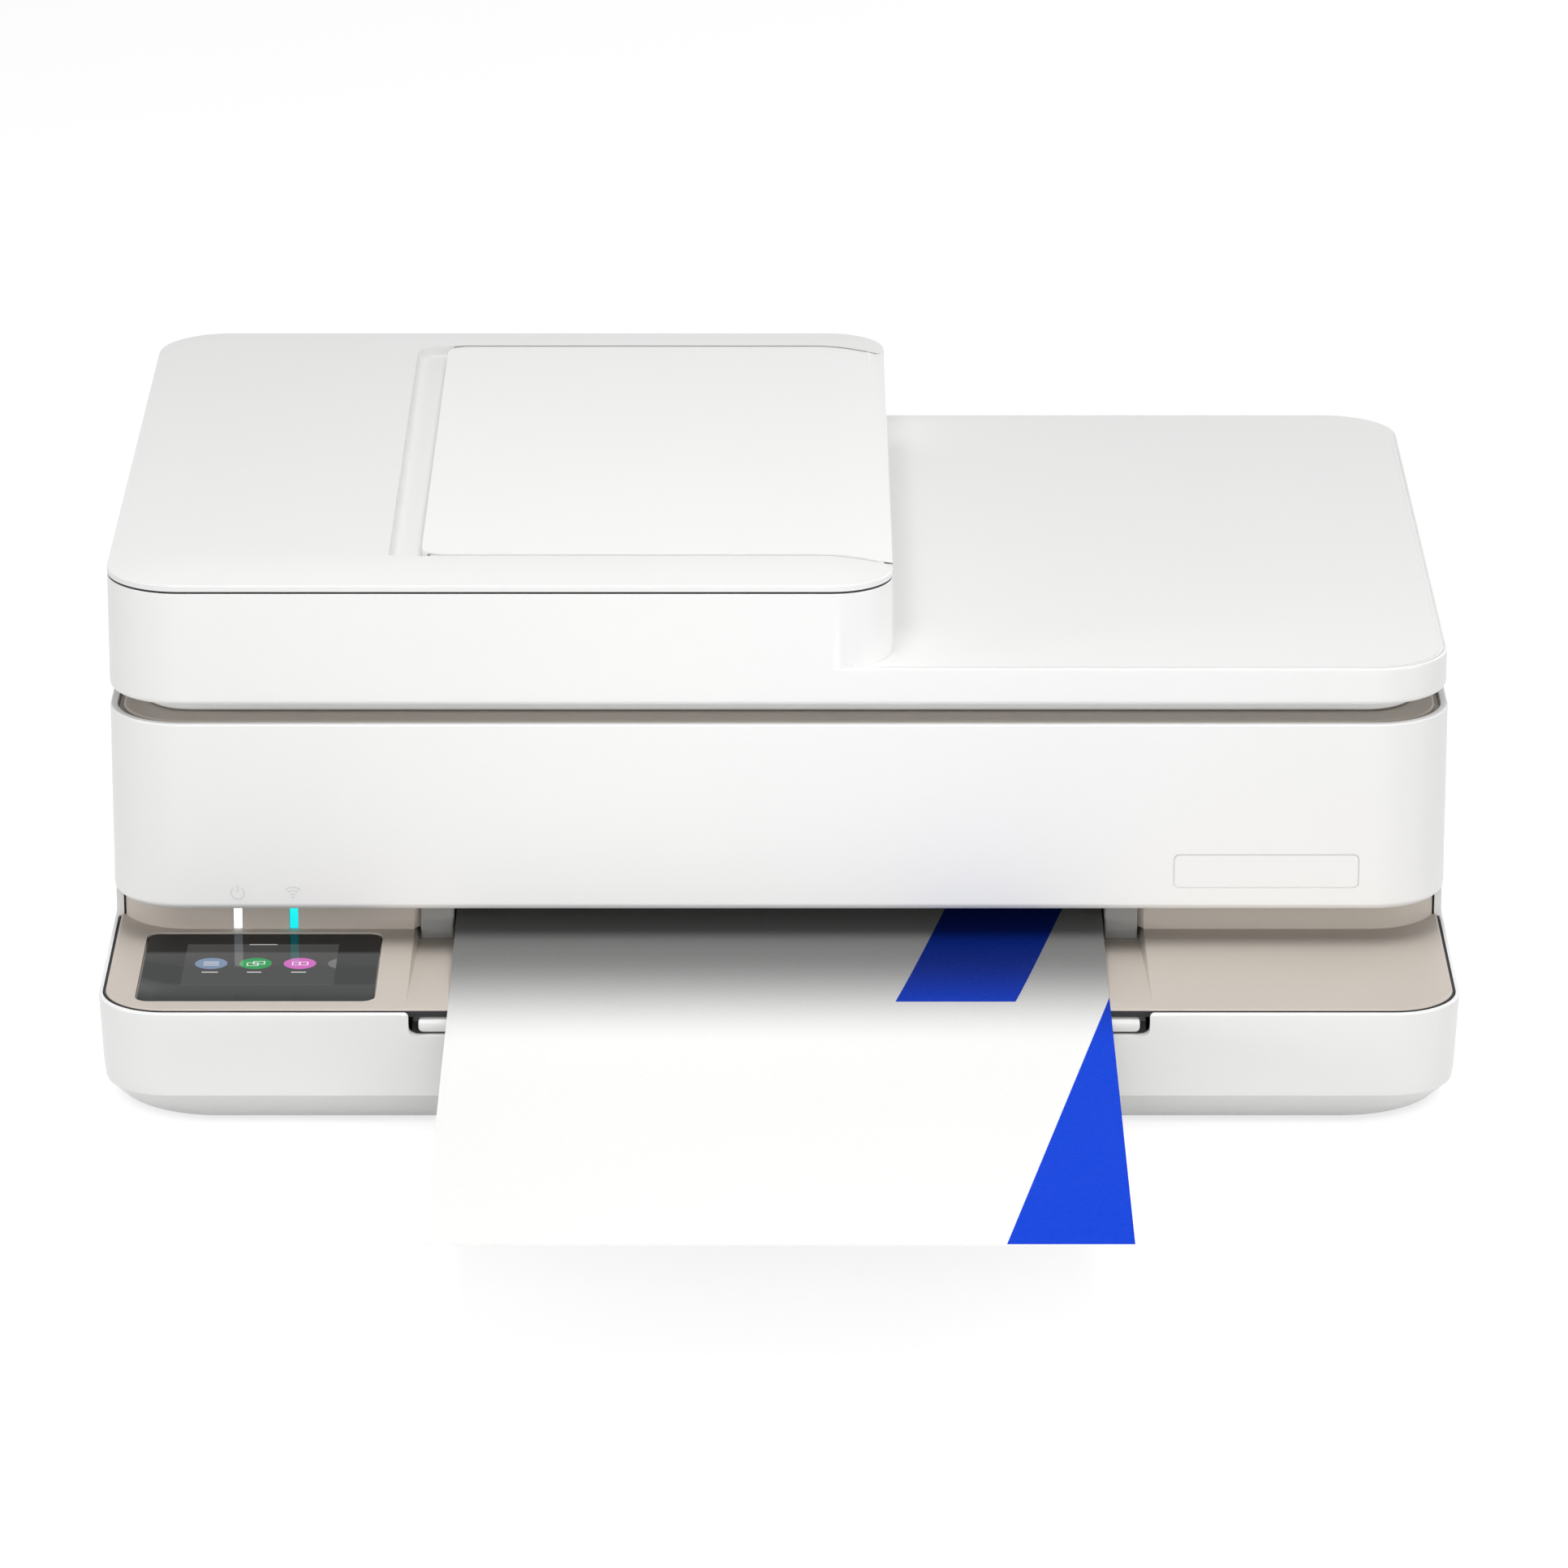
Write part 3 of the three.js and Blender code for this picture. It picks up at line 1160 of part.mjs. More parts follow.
function rollers() {
  const transferPhase = meshPhase(FEED_CENTRE, FEED_TEETH, 0, TRANSFER_CENTRE, TRANSFER_TEETH);
  const exitPhase = meshPhase(
    TRANSFER_CENTRE,
    TRANSFER_TEETH,
    transferPhase,
    EXIT_CENTRE,
    EXIT_TEETH,
  );
  const pinionPhase = meshPhase(FEED_CENTRE, FEED_TEETH, 0, PINION_CENTRE, PINION_TEETH);
  const half = ROLLER_LENGTH / 2;
  const right = FRAME_HALF_WIDTH + 1;
  const made = (name, radius, centre, teeth, phase) => {
    const shaft = rod("x", SHAFT_RADIUS, GEAR_X0, right, centre, 12);
    const tyre = rod("x", radius, -half, half, centre);
    return toMesh(name, joined([shaft, tyre, gear(teeth, phase, GEAR_X0, GEAR_X1, centre)]), plastic(DARK));
  };
  const hole = rod("x", SHAFT_RADIUS + RUNNING, -FAR, FAR, TRANSFER_CENTRE, 12);
  const transfer = gear(TRANSFER_TEETH, transferPhase, GEAR_X0, GEAR_X1, TRANSFER_CENTRE);
  const stub = rod("x", SHAFT_RADIUS - 1, GEAR_X0, 12 - FRAME_HALF_WIDTH, PINION_CENTRE, 12);
  const pinion = gear(PINION_TEETH, pinionPhase, GEAR_X0, GEAR_X1, PINION_CENTRE).add(stub);
  const motorX = FRAME_SHEET + GAP - FRAME_HALF_WIDTH;
  const bore = rod("x", SHAFT_RADIUS - 1 + RUNNING, -FAR, 13 - FRAME_HALF_WIDTH, PINION_CENTRE, 12);
  const motor = rod("x", MOTOR_RADIUS, motorX, motorX + MOTOR_LENGTH, PINION_CENTRE);
  return [
    made("feed_roller", FEED_RADIUS, FEED_CENTRE, FEED_TEETH, 0),
    made("exit_roller", EXIT_RADIUS, EXIT_CENTRE, EXIT_TEETH, exitPhase),
    toMesh("transfer_gear", transfer.subtract(hole), plastic(GREY)),
    toMesh("drive_pinion", pinion, metal(0xc9a75c)),
    toMesh("drive_motor", motor.subtract(bore), metal(STEEL)),
  ];
}

const PICK_Z = STACK_TOP + SLIP + PICK_RADIUS;
const PICK_ARM_X = PICK_WIDTH / 2 + 2;

function pathParts() {
  const half = ROLLER_LENGTH / 2;
  const top = EXIT_Z + EXIT_RADIUS + 1.8;
  const bed = box(-half, half, EXIT_Y + 12, FEED_Y - FEED_RADIUS - 3, top - 5, top);
  const end = FRAME_HALF_WIDTH - FRAME_SHEET - GAP;
  const beam = box(-end, end, EXIT_Y + 12, EXIT_Y + 15, top - 5, top - 1);
  const arc = (grow) =>
    Array.from({ length: 9 }, (_, i) => {
      const angle = (-25 + (i / 8) * 115) * TURN;
      const [reach, rise] = [TURN_REACH + grow, TURN_RISE + grow];
      return [TURN_Y + reach * Math.cos(angle), TURN_Z + rise * Math.sin(angle)];
    });
  const mouth = FRAME_BACK + GAP;
  const outer = [...arc(0), [mouth, TURN_INLET_Z]];
  const inner = [...arc(-TURN_THICKNESS), [mouth, TURN_INLET_Z - TURN_THICKNESS]].reverse();
  const guide = prismX([...outer, ...inner], -half, half);
  const pickCentre = [PICK_Y, PICK_Z];
  const tyre = rod("x", PICK_RADIUS, -PICK_WIDTH / 2, PICK_WIDTH / 2, pickCentre);
  const shaft = rod("x", SHAFT_RADIUS, -PICK_WIDTH / 2 - 2, PICK_ARM_X + 6, pickCentre, 12);
  return [
    toMesh("platen", bed.add(beam), plastic(DARK)),
    toMesh("turn_guide", guide, plastic(DARK)),
    toMesh("pick_roller", tyre.add(shaft), plastic(DARK, 0.9)),
  ];
}

// ---------- print engine ----------

const BELT_Y1 = FRAME_BACK - FRAME_SHEET - 2.5;
const BELT_Y0 = BELT_Y1 - BELT_WIDTH;
const RAIL_CENTRE = [RAIL_Y, RAIL_Z];

function engineFrame() {
  const half = FRAME_HALF_WIDTH;
  const foot = CASE_BOTTOM + 2 * GAP + PAN_THICKNESS;
  const back = box(-half, half, FRAME_BACK - FRAME_SHEET, FRAME_BACK, TRAY_TOP + 4, FRAME_TOP);
  const sides = [-1, 1].map((side) => {
    const [x0, x1] = span(side, half - FRAME_SHEET, half);
    return box(x0, x1, FRAME_FRONT, FRAME_BACK, foot, FRAME_TOP);
  });
  const hole = (radius, centre) => rod("x", radius + RUNNING, -FAR, FAR, centre, 12);
  const pulleyHole = (x) => rod("y", 2 + RUNNING, FRAME_BACK - 5, FRAME_BACK + 5, [x, BELT_Z], 12);
  const window = ROLLER_LENGTH / 2 + 4;
  const arm = box(
    PICK_ARM_X,
    PICK_ARM_X + 4,
    FRAME_BACK - FRAME_SHEET,
    PICK_Y + 7,
    PICK_Z - 3.5,
    PICK_Z + 4.5,
  );
  const pin = rod("x", SHAFT_RADIUS, GEAR_X0, 1 - half, TRANSFER_CENTRE, 12);
  const plates = without(joined([back, ...sides]), [
    box(-window, window, 0, FAR, FEED_Z + 4, FEED_Z + FEED_RADIUS + 6),
    hole(SHAFT_RADIUS, FEED_CENTRE),
    hole(SHAFT_RADIUS, EXIT_CENTRE),
    rod("x", SHAFT_RADIUS - 1 + RUNNING, -FAR, 0, PINION_CENTRE, 12),
    pulleyHole(PULLEY_X),
    pulleyHole(-PULLEY_X),
  ]);
  const frame = joined([plates, arm, pin]).subtract(
    rod("x", SHAFT_RADIUS + RUNNING, 0, PICK_ARM_X + 6, [PICK_Y, PICK_Z], 12),
  );
  const end = half - FRAME_SHEET - GAP;
  return [
    toMesh("engine_frame", frame, metal(STEEL)),
    toMesh("carriage_rail", rod("x", RAIL_RADIUS, -end, end, RAIL_CENTRE), metal(STEEL)),
  ];
}

function carriageParts() {
  const [x0, x1] = [CARRIAGE_LEFT, CARRIAGE_LEFT + CARRIAGE_WIDTH];
  const wall = CARRIAGE_WALL;
  const cell = (CARRIAGE_WIDTH - 3 * wall) / 2;
  const cells = [x0 + wall, CARRIAGE_X + wall / 2];
  const inside = [CARRIAGE_FRONT + wall, CARRIAGE_BACK - wall];
  const floor = CARRIAGE_BOTTOM + wall;
  const nozzle = (x, grow, z0, z1) =>
    box(
      x + NOZZLE_INSET - grow,
      x + cell - NOZZLE_INSET + grow,
      inside[0] + 4 - grow,
      inside[0] + 20 + grow,
      z0,
      z1,
    );
  const bush = box(
    x0 + 12,
    x1 - 12,
    CARRIAGE_BACK - 1,
    RAIL_Y + BUSH_RADIUS,
    RAIL_Z - BUSH_RADIUS,
    CARRIAGE_TOP,
  );
  const clampZ = BELT_Z - PULLEY_RADIUS;
  const clamp = box(
    CARRIAGE_X - 8,
    CARRIAGE_X + 8,
    RAIL_Y + BUSH_RADIUS - 1,
    BELT_Y0 - GAP,
    clampZ - 4,
    clampZ + 4,
  );
  const pivotY = CARRIAGE_FRONT + LATCH_LENGTH;
  const pivotZ = CARRIAGE_TOP + CARTRIDGE_RISE + LATCH_THICKNESS + GAP;
  const ears = [x0, CARRIAGE_X - wall / 2, x1 - wall].map((x) =>
    box(x, x + wall, pivotY - 4, pivotY + 4, CARRIAGE_TOP - 1, pivotZ + 2.5),
  );
  const block = box(x0, x1, CARRIAGE_FRONT, CARRIAGE_BACK, CARRIAGE_BOTTOM, CARRIAGE_TOP);
  const carriage = without(joined([block, bush, clamp, ...ears]), [
    ...cells.map((x) => box(x, x + cell, inside[0], inside[1], floor, CARRIAGE_TOP)),
    ...cells.map((x) => nozzle(x, SLIP, 0, floor + 1)),
    rod("x", RAIL_RADIUS + RUNNING, x0, x1, RAIL_CENTRE),
    rod("x", 1 + RUNNING, x0 - 1, x1 + 1, [pivotY, pivotZ], 12),
  ]);
  const colours = [DARK, 0x5d6166];
  const cartridges = cells.map((x, i) => {
    const body = box(
      x + GAP,
      x + cell - GAP,
      inside[0] + GAP,
      inside[1] - GAP,
      floor + GAP,
      CARRIAGE_TOP + CARTRIDGE_RISE,
    );
    const made = body.add(nozzle(x, 0, CARRIAGE_BOTTOM - 1.5, floor + 1));
    return toMesh(i ? "cartridge_right" : "cartridge_left", made, plastic(colours[i]));
  });
  const latches = cells.map((x, i) => {
    const plate = box(x + 1, x + cell - 1, CARRIAGE_FRONT - 2, pivotY, pivotZ - 1, pivotZ + 1);
    const pin = rod("x", 1, x - wall / 2 + 0.2, x + cell + wall / 2 - 0.2, [pivotY, pivotZ], 12);
    return toMesh(i ? "latch_right" : "latch_left", plate.add(pin), plastic(GREY));
  });
  return [toMesh("carriage", carriage, plastic(DARK)), ...cartridges, ...latches];
}

function beltDrive() {
  const reach = PULLEY_RADIUS + GAP;
  const loop = (radius) =>
    rectangle({
      left: -PULLEY_X - radius,
      right: PULLEY_X + radius,
      front: BELT_Z - radius,
      back: BELT_Z + radius,
      radii: [radius, radius, radius, radius].map((r) => r - 0.01),
    });
  const belt = prismY(loop(reach + BELT_THICKNESS), BELT_Y0, BELT_Y1, [loop(reach)]);
  const pulleys = [-1, 1].map((side) => {
    const centre = [side * PULLEY_X, BELT_Z];
    const wheel = rod("y", PULLEY_RADIUS, BELT_Y0, BELT_Y1, centre);
    const axle = rod("y", 2, BELT_Y0, FRAME_BACK + 6, centre, 12);
    return toMesh(side < 0 ? "idle_pulley" : "drive_pulley", wheel.add(axle), plastic(GREY));
  });
  const motorY = FRAME_BACK + GAP;
  const bore = rod("y", 2 + RUNNING, 0, FRAME_BACK + 7, [PULLEY_X, BELT_Z], 12);
  const motor = rod("y", MOTOR_RADIUS, motorY, motorY + MOTOR_LENGTH, [PULLEY_X, BELT_Z]);
  return [
    toMesh("carriage_belt", belt, plastic(0x222222, 0.8)),
    ...pulleys,
    toMesh("carriage_motor", motor.subtract(bore), metal(STEEL)),
  ];
}

function serviceStation() {
  const foot = CASE_BOTTOM + 2 * GAP + PAN_THICKNESS;
  const trayEdge = TRAY_HALF_WIDTH + 2;
  const left = ROLLER_LENGTH / 2 + 3;
  const right = FRAME_HALF_WIDTH - STATION_ROOM;
  const capTop = CARRIAGE_BOTTOM - 1.5 - SLIP;
  const top = capTop - SLED_HEIGHT - 3 - GAP;
  const profile = [
    [left, TRAY_TOP + 4],
    [trayEdge, TRAY_TOP + 4],
    [trayEdge, foot],
    [right, foot],
    [right, top],
    [left, top],
  ];
  const y0 = EXIT_Y + 19;
  const y1 = FEED_Y - FEED_RADIUS - 2;
  const sledTop = top + GAP + SLED_HEIGHT;
  const sled = box(left + 1, right - SLED_ROOM, y0 + 2, y1 - 2, top + GAP, sledTop);
  const cell = (CARRIAGE_WIDTH - 3 * CARRIAGE_WALL) / 2;
  const caps = [-1, 1].map((side) => {
    const x = CARRIAGE_X + (side * (cell + CARRIAGE_WALL)) / 2;
    const capHalf = cell / 2 - NOZZLE_INSET - 1;
    return box(x - capHalf, x + capHalf, y0 + 4, y0 + 18, sledTop - 1, capTop);
  });
  return [
    toMesh("service_station", prismY(profile, y0, y1), plastic(DARK)),
    toMesh("service_sled", joined([sled, ...caps]), plastic(GREY)),
  ];
}

// ---------- electronics and rear controls ----------

function electronics() {
  const foot = CASE_BOTTOM + 2 * GAP + PAN_THICKNESS;
  const sheet = box(BOARD_LEFT, BOARD_RIGHT, BOARD_FRONT, BOARD_BACK, foot + 2, foot + 3.6);
  const legs = [BOARD_LEFT + 5, BOARD_RIGHT - 5].flatMap((x) =>
    [BOARD_FRONT + 5, BOARD_BACK - 5].map((y) => rod("z", 2, foot, foot + 2.5, [x, y], 8)),
  );
  const [chipX, chipY] = [BOARD_LEFT + CHIP_INSET_X, BOARD_FRONT + CHIP_INSET_Y];
  const chip = box(chipX, chipX + CHIP_SIZE, chipY, chipY + CHIP_SIZE, foot + 3, foot + 6);
  const [usbX, usbZ, usbWidth, usbHeight] = USB;
  const usbRoom = [usbX, usbZ, usbWidth - 3, usbHeight - 3];
  const rear = box(-FAR, FAR, 0, CASE_DEPTH - 1.5, -FAR, FAR);
  const usbSpan = box(
    usbX - usbWidth / 2,
    usbX + usbWidth / 2,
    BOARD_BACK - 6,
    CASE_DEPTH - 10,
    foot + 3,
    usbZ + usbHeight / 2,
  );
  const usb = rearHole(USB, 0).intersect(rear).add(usbSpan).subtract(rearHole(usbRoom, 0));
  const board = joined([sheet, ...legs, chip, usb]);
  const [x, z, width, height] = INLET;
  const inletRoom = [x, z, width - 5, height - 5];
  const inletSpan = box(
    x - width / 2,
    x + width / 2,
    BOARD_BACK - 2,
    CASE_DEPTH - 10,
    z - height / 2,
    z + height / 2,
  );
  const inlet = rearHole(INLET, 0).intersect(rear).add(inletSpan).subtract(rearHole(inletRoom, 0));
  const brick = box(-BOARD_RIGHT, -BOARD_LEFT, BOARD_FRONT, BOARD_BACK, foot, foot + SUPPLY_HEIGHT);
  return [
    toMesh("main_board", board, plastic(0x2f6b45)),
    toMesh("power_supply", brick.add(inlet), plastic(DARK)),
  ];
}

function rearButtons() {
  const made = (name, [x, z, width, height]) =>
    toMesh(
      name,
      box(x - width / 2, x + width / 2, CASE_DEPTH - 7, CASE_DEPTH, z - height / 2, z + height / 2),
      plastic(WHITE),
    );
  return [made("power_button", POWER_BUTTON), made("wifi_button", WIFI_BUTTON)];
}

// ---------- the whole printer ----------

const group = new THREE.Group();
group.add(
  ...casing(),
  controlDeck(),
  ...touchPanel(),
  exitBridge(),
  frontCover(),
  ...upperHinges(),
  ...scannerBed(),
  scanBar(),
  lidShell(),
  ...lidParts(),
  ...lidPosts(),
  feederCover(),
  feederFlap(),
  ...feederInside(),
  drawerFront(),
  ...drawerInside(),
  outputExtender(),
  printedSheet(),
  ...rollers(),
  ...pathParts(),
  ...engineFrame(),
  ...carriageParts(),
  ...beltDrive(),
  ...serviceStation(),
  ...electronics(),
  ...rearButtons(),
);

// The origin is on the table, under the middle of the printer with its printed sheet.
const bounds = new THREE.Box3().setFromObject(group);
group.position.y = -(bounds.min.y + bounds.max.y) / 2;

export default group;
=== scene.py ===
"""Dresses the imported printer: fine shells, finishes, a studio and the camera.

Sizes are in millimetres, counted from the drawer's face (y), the middle (x) and the table (z).
Each finished mesh is turned into metres in the frame's own coordinates.
"""

from __future__ import annotations

import json
import logging
import math
from dataclasses import dataclass, replace
from enum import Enum
from functools import partialmethod
from typing import Any, Callable, Iterable, Sequence

import bmesh
import bpy
from mathutils import Matrix, Vector

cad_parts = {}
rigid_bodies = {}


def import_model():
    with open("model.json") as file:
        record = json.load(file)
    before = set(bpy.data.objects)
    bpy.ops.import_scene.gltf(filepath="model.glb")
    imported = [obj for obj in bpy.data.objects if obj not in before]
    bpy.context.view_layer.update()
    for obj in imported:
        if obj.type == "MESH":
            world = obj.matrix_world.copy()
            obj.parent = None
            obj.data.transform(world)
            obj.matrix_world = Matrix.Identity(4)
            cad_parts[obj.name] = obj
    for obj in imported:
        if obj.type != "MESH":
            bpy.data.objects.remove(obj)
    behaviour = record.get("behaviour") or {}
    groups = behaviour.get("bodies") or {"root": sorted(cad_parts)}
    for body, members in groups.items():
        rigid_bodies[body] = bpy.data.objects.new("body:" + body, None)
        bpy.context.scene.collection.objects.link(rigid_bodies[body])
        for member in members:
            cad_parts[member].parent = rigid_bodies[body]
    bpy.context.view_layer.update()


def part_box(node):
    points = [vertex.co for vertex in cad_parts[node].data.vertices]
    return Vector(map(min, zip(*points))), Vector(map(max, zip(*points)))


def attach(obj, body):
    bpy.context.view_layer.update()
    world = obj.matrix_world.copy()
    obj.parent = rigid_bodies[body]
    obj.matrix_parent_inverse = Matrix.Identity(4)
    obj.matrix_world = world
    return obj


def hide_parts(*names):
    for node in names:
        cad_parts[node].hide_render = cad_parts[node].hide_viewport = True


log = logging.getLogger("printer")

Pair = tuple[float, float]
Triple = tuple[float, float, float]
Quad = tuple[float, float, float, float]
Solid = bpy.types.Object

GAP = 0.3
SLIP = 0.5
RUNNING = 0.15
FAR = 600.0
CORNER_STEPS = 20


def sheet_origin() -> float:
    """The y of the drawer's face in the frame, in millimetres."""
    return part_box("drawer_front")[0].y * 1000


# ---------------------------------------------------------------- meshes


@dataclass(frozen=True)
class Outline:
    """A rectangle in a plane, with a radius at each corner."""

    left: float
    right: float
    front: float
    back: float
    radii: Quad

    def inset(
        self,
        side: float,
        front: float | None = None,
        back: float | None = None,
        right: float | None = None,
    ) -> "Outline":
        """Draws the outline in.

        Args:
            side: Distance at the left, and elsewhere where nothing else is given.
            front: Distance at the front.
            back: Distance at the back.
            right: Distance at the right.

        Returns:
            The smaller outline.
        """
        return Outline(
            self.left + side,
            self.right - (side if right is None else right),
            self.front + (side if front is None else front),
            self.back - (side if back is None else back),
            tuple(max(r - side, 0.3) for r in self.radii),
        )

    def points(self, steps: int = CORNER_STEPS) -> list[Pair]:
        """Lists the outline's points, anticlockwise from the front left corner.

        Args:
            steps: Facets in each corner.

        Returns:
            The points, as many for every outline of the same steps.
        """
        fl, fr, br, bl = self.radii
        corners = (
            (self.left + fl, self.front + fl, fl, 180),
            (self.right - fr, self.front + fr, fr, 270),
            (self.right - br, self.back - br, br, 0),
            (self.left + bl, self.back - bl, bl, 90),
        )
        found = []
        for x, y, radius, start in corners:
            for i in range(steps + 1):
                angle = math.radians(start + 90 * i / steps)
                found.append((x + radius * math.cos(angle), y + radius * math.sin(angle)))
        return found


Level = tuple[float, Outline]


def centred(
    x: float, y: float, width: float, height: float, radius: float, grow: float = 0
) -> Outline:
    """A rounded rectangle about a centre, grown on all sides."""
    left, right = x - width / 2 - grow, x + width / 2 + grow
    return Outline(left, right, y - height / 2 - grow, y + height / 2 + grow, (radius,) * 4)


def tidy(name: str, vertices: Sequence[Triple], faces: Sequence[Sequence[int]]) -> Solid:
    """Makes an object from points and faces.

    Args:
        name: The object's name.
        vertices: Points in millimetres.
        faces: Faces that point outwards.

    Returns:
        The linked object.
    """
    mesh = bpy.data.meshes.new(name)
    mesh.from_pydata(vertices, [], faces)
    mesh.validate()
    made = bpy.data.objects.new(name, mesh)
    bpy.context.scene.collection.objects.link(made)
    return made


def stack(rings: Sequence[Sequence[Triple]]) -> Solid:
    """Skins a stack of rings of equal length and closes both ends.

    Args:
        rings: The rings, each anticlockwise seen from the end of the stack.

    Returns:
        The closed solid.
    """
    count = len(rings[0])
    vertices = [p for ring in rings for p in ring]
    faces: list[list[int]] = [list(range(count))[::-1]]
    for level in range(len(rings) - 1):
        low = level * count
        for i in range(count):
            j = (i + 1) % count
            faces.append([low + i, low + j, low + count + j, low + count + i])
    top = (len(rings) - 1) * count
    faces.append(list(range(top, top + count)))
    return tidy("solid", vertices, faces)


def loft(levels: Iterable[Level], steps: int = CORNER_STEPS) -> Solid:
    """Skins outlines, each at its height, from the bottom up."""
    return stack([[(x, y, z) for x, y in shape.points(steps)] for z, shape in levels])


def slab(shape: Outline, z0: float, z1: float) -> Solid:
    """An upright slab of one outline, between two heights."""
    return loft([(z0, shape), (z1, shape)])


def box(x0: float, x1: float, y0: float, y1: float, z0: float, z1: float) -> Solid:
    """A block between two values on each axis."""
    ring = [(x0, y0), (x1, y0), (x1, y1), (x0, y1)]
    return stack([[(x, y, z) for x, y in ring] for z in (z0, z1)])


class Axis(Enum):
    """The axis that a prism or rod runs along."""

    X = 0
    Y = 1
    Z = 2


def prism(axis: Axis, points: Sequence[Pair], start: float, end: float) -> Solid:
    """Pushes a profile along an axis.

    Args:
        axis: The axis of the push.
        points: The profile, as (y, z) for X, (x, z) for Y or (x, y) for Z.
        start: Lower end along the axis.
        end: Upper end along the axis.

    Returns:
        The solid.
    """
    area = sum(
        a[0] * b[1] - b[0] * a[1] for a, b in zip(points, list(points[1:]) + [points[0]])
    )
    turn = area > 0
    if axis is Axis.Y:
        turn = not turn
    ring = list(points) if turn else list(points)[::-1]
    place: dict[Axis, Callable[[Pair, float], Triple]] = {
        Axis.X: lambda p, t: (t, p[0], p[1]),
        Axis.Y: lambda p, t: (p[0], t, p[1]),
        Axis.Z: lambda p, t: (p[0], p[1], t),
    }
    return stack([[place[axis](p, t) for p in ring] for t in (start, end)])


def circle(radius: float, centre: Pair, steps: int = 48) -> list[Pair]:
    """Points of a circle.

    Args:
        radius: Its radius.
        centre: Its centre.
        steps: How many points.

    Returns:
        The points, anticlockwise.
    """
    turn = 2 * math.pi / steps
    return [
        (centre[0] + radius * math.cos(i * turn), centre[1] + radius * math.sin(i * turn))
        for i in range(steps)
    ]


def rod(axis: Axis, radius: float, start: float, end: float, centre: Pair) -> Solid:
    """A round bar along an axis, about a centre in the other two axes."""
    return prism(axis, circle(radius, centre), start, end)


def baked(made: Solid) -> Solid:
    """Turns an object's modifiers into its mesh.

    Args:
        made: The object.

    Returns:
        The same object, with no modifier left.
    """
    graph = bpy.context.evaluated_depsgraph_get()
    mesh = bpy.data.meshes.new_from_object(made.evaluated_get(graph))
    old = made.data
    made.modifiers.clear()
    made.data = mesh
    bpy.data.meshes.remove(old)
    return made


class Join(Enum):
    """What a second solid does to the first."""

    ADD = "UNION"
    CUT = "DIFFERENCE"
    KEEP = "INTERSECT"


def apply(base: Solid, how: Join, others: Iterable[Solid]) -> Solid:
    """Adds, cuts away or keeps what is common, and uses the other solids up.

    Args:
        base: The solid that changes.
        how: What the others do.
        others: The other solids.

    Returns:
        The changed solid.
    """
    used = list(others)
    for other in used:
        step = base.modifiers.new("step", "BOOLEAN")
        step.operation = how.value
        step.solver = "MANIFOLD"
        step.object = other
    bpy.context.view_layer.update()
    baked(base)
    for other in used:
        mesh = other.data
        bpy.data.objects.remove(other)
        bpy.data.meshes.remove(mesh)
    return base


def add(base: Solid, *others: Solid) -> Solid:
    """Joins solids into the first one."""
    return apply(base, Join.ADD, others)


def cut(base: Solid, *others: Solid) -> Solid:
    """Cuts the other solids out of the first one."""
    return apply(base, Join.CUT, others)


def keep(base: Solid, other: Solid) -> Solid:
    """Keeps what the two solids have in common."""
    return apply(base, Join.KEEP, [other])


def copy(made: Solid) -> Solid:
    """Makes a second object with its own mesh.

    Args:
        made: The object.

    Returns:
        Its linked copy.
    """
    twin = made.copy()
    twin.data = made.data.copy()
    bpy.context.scene.collection.objects.link(twin)
    return twin


def span(side: int, near: float, far: float) -> Pair:
    """The range between two distances from the middle, on the left (-1) or right (1) side."""
    return (-far, -near) if side < 0 else (near, far)


def quarter(radius: float, steps: int = 5) -> list[Pair]:
    """Steps of a rounded-over edge.

    Args:
        radius: Radius of the edge.
        steps: Facets in it.

    Returns:
        Pairs of rise and inset, from the upright wall to the flat top.
    """
    found = []
    for i in range(steps + 1):
        angle = math.pi / 2 * i / steps
        found.append((radius * math.sin(angle), radius * (1 - math.cos(angle))))
    return found


def rounded(
    shape: Outline, top: float, radius: float, steps: int = 5, back: float | None = None
) -> list[Level]:
    """The levels of a rounded-over edge, from the upright wall to the flat top."""
    return [(top - radius + a, shape.inset(b, back=back)) for a, b in quarter(radius, steps)]


def hang(
    made: Solid,
    name: str,
    finish: "Finish",
    body: str,
    *nodes: str,
    angle: float = 32.0,
    placed: bool = False,
) -> None:
    """Moves a solid into the frame, finishes it and lets it ride on a body.

    Args:
        made: The solid.
        name: Its final name.
        finish: What it is made of.
        body: The body's name.
        nodes: The nodes that it stands for.
        angle: Edges over this angle, in degrees, stay sharp.
        placed: Whether it is in the frame's metres already.
    """
    mesh = made.data
    made.name = mesh.name = name
    if not placed:
        mesh.transform(Matrix.Translation((0, sheet_origin() / 1000, 0)) @ Matrix.Scale(0.001, 4))
    mesh.materials.clear()
    mesh.materials.append(finish.material())
    mesh.shade_smooth()
    mesh.set_sharp_from_angle(angle=math.radians(angle))
    made.modifiers.new("normals", "WEIGHTED_NORMAL").keep_sharp = True
    baked(made)
    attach(made, body)
    if nodes:
        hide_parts(*nodes)
    log.info("%s: %d faces on %s", name, len(made.data.polygons), body)


def dress(made: Solid, finish: "Finish", body: str, node: str) -> None:
    """Hangs a solid in the place of one node, with a name made from the node's."""
    hang(made, f"{node}_fine", finish, body, node)


# ---------------------------------------------------------------- materials

Number = "float | int | Signal"
Sockets = dict[int | str, Any]
SOFT = {"interpolation_type": "SMOOTHSTEP"}


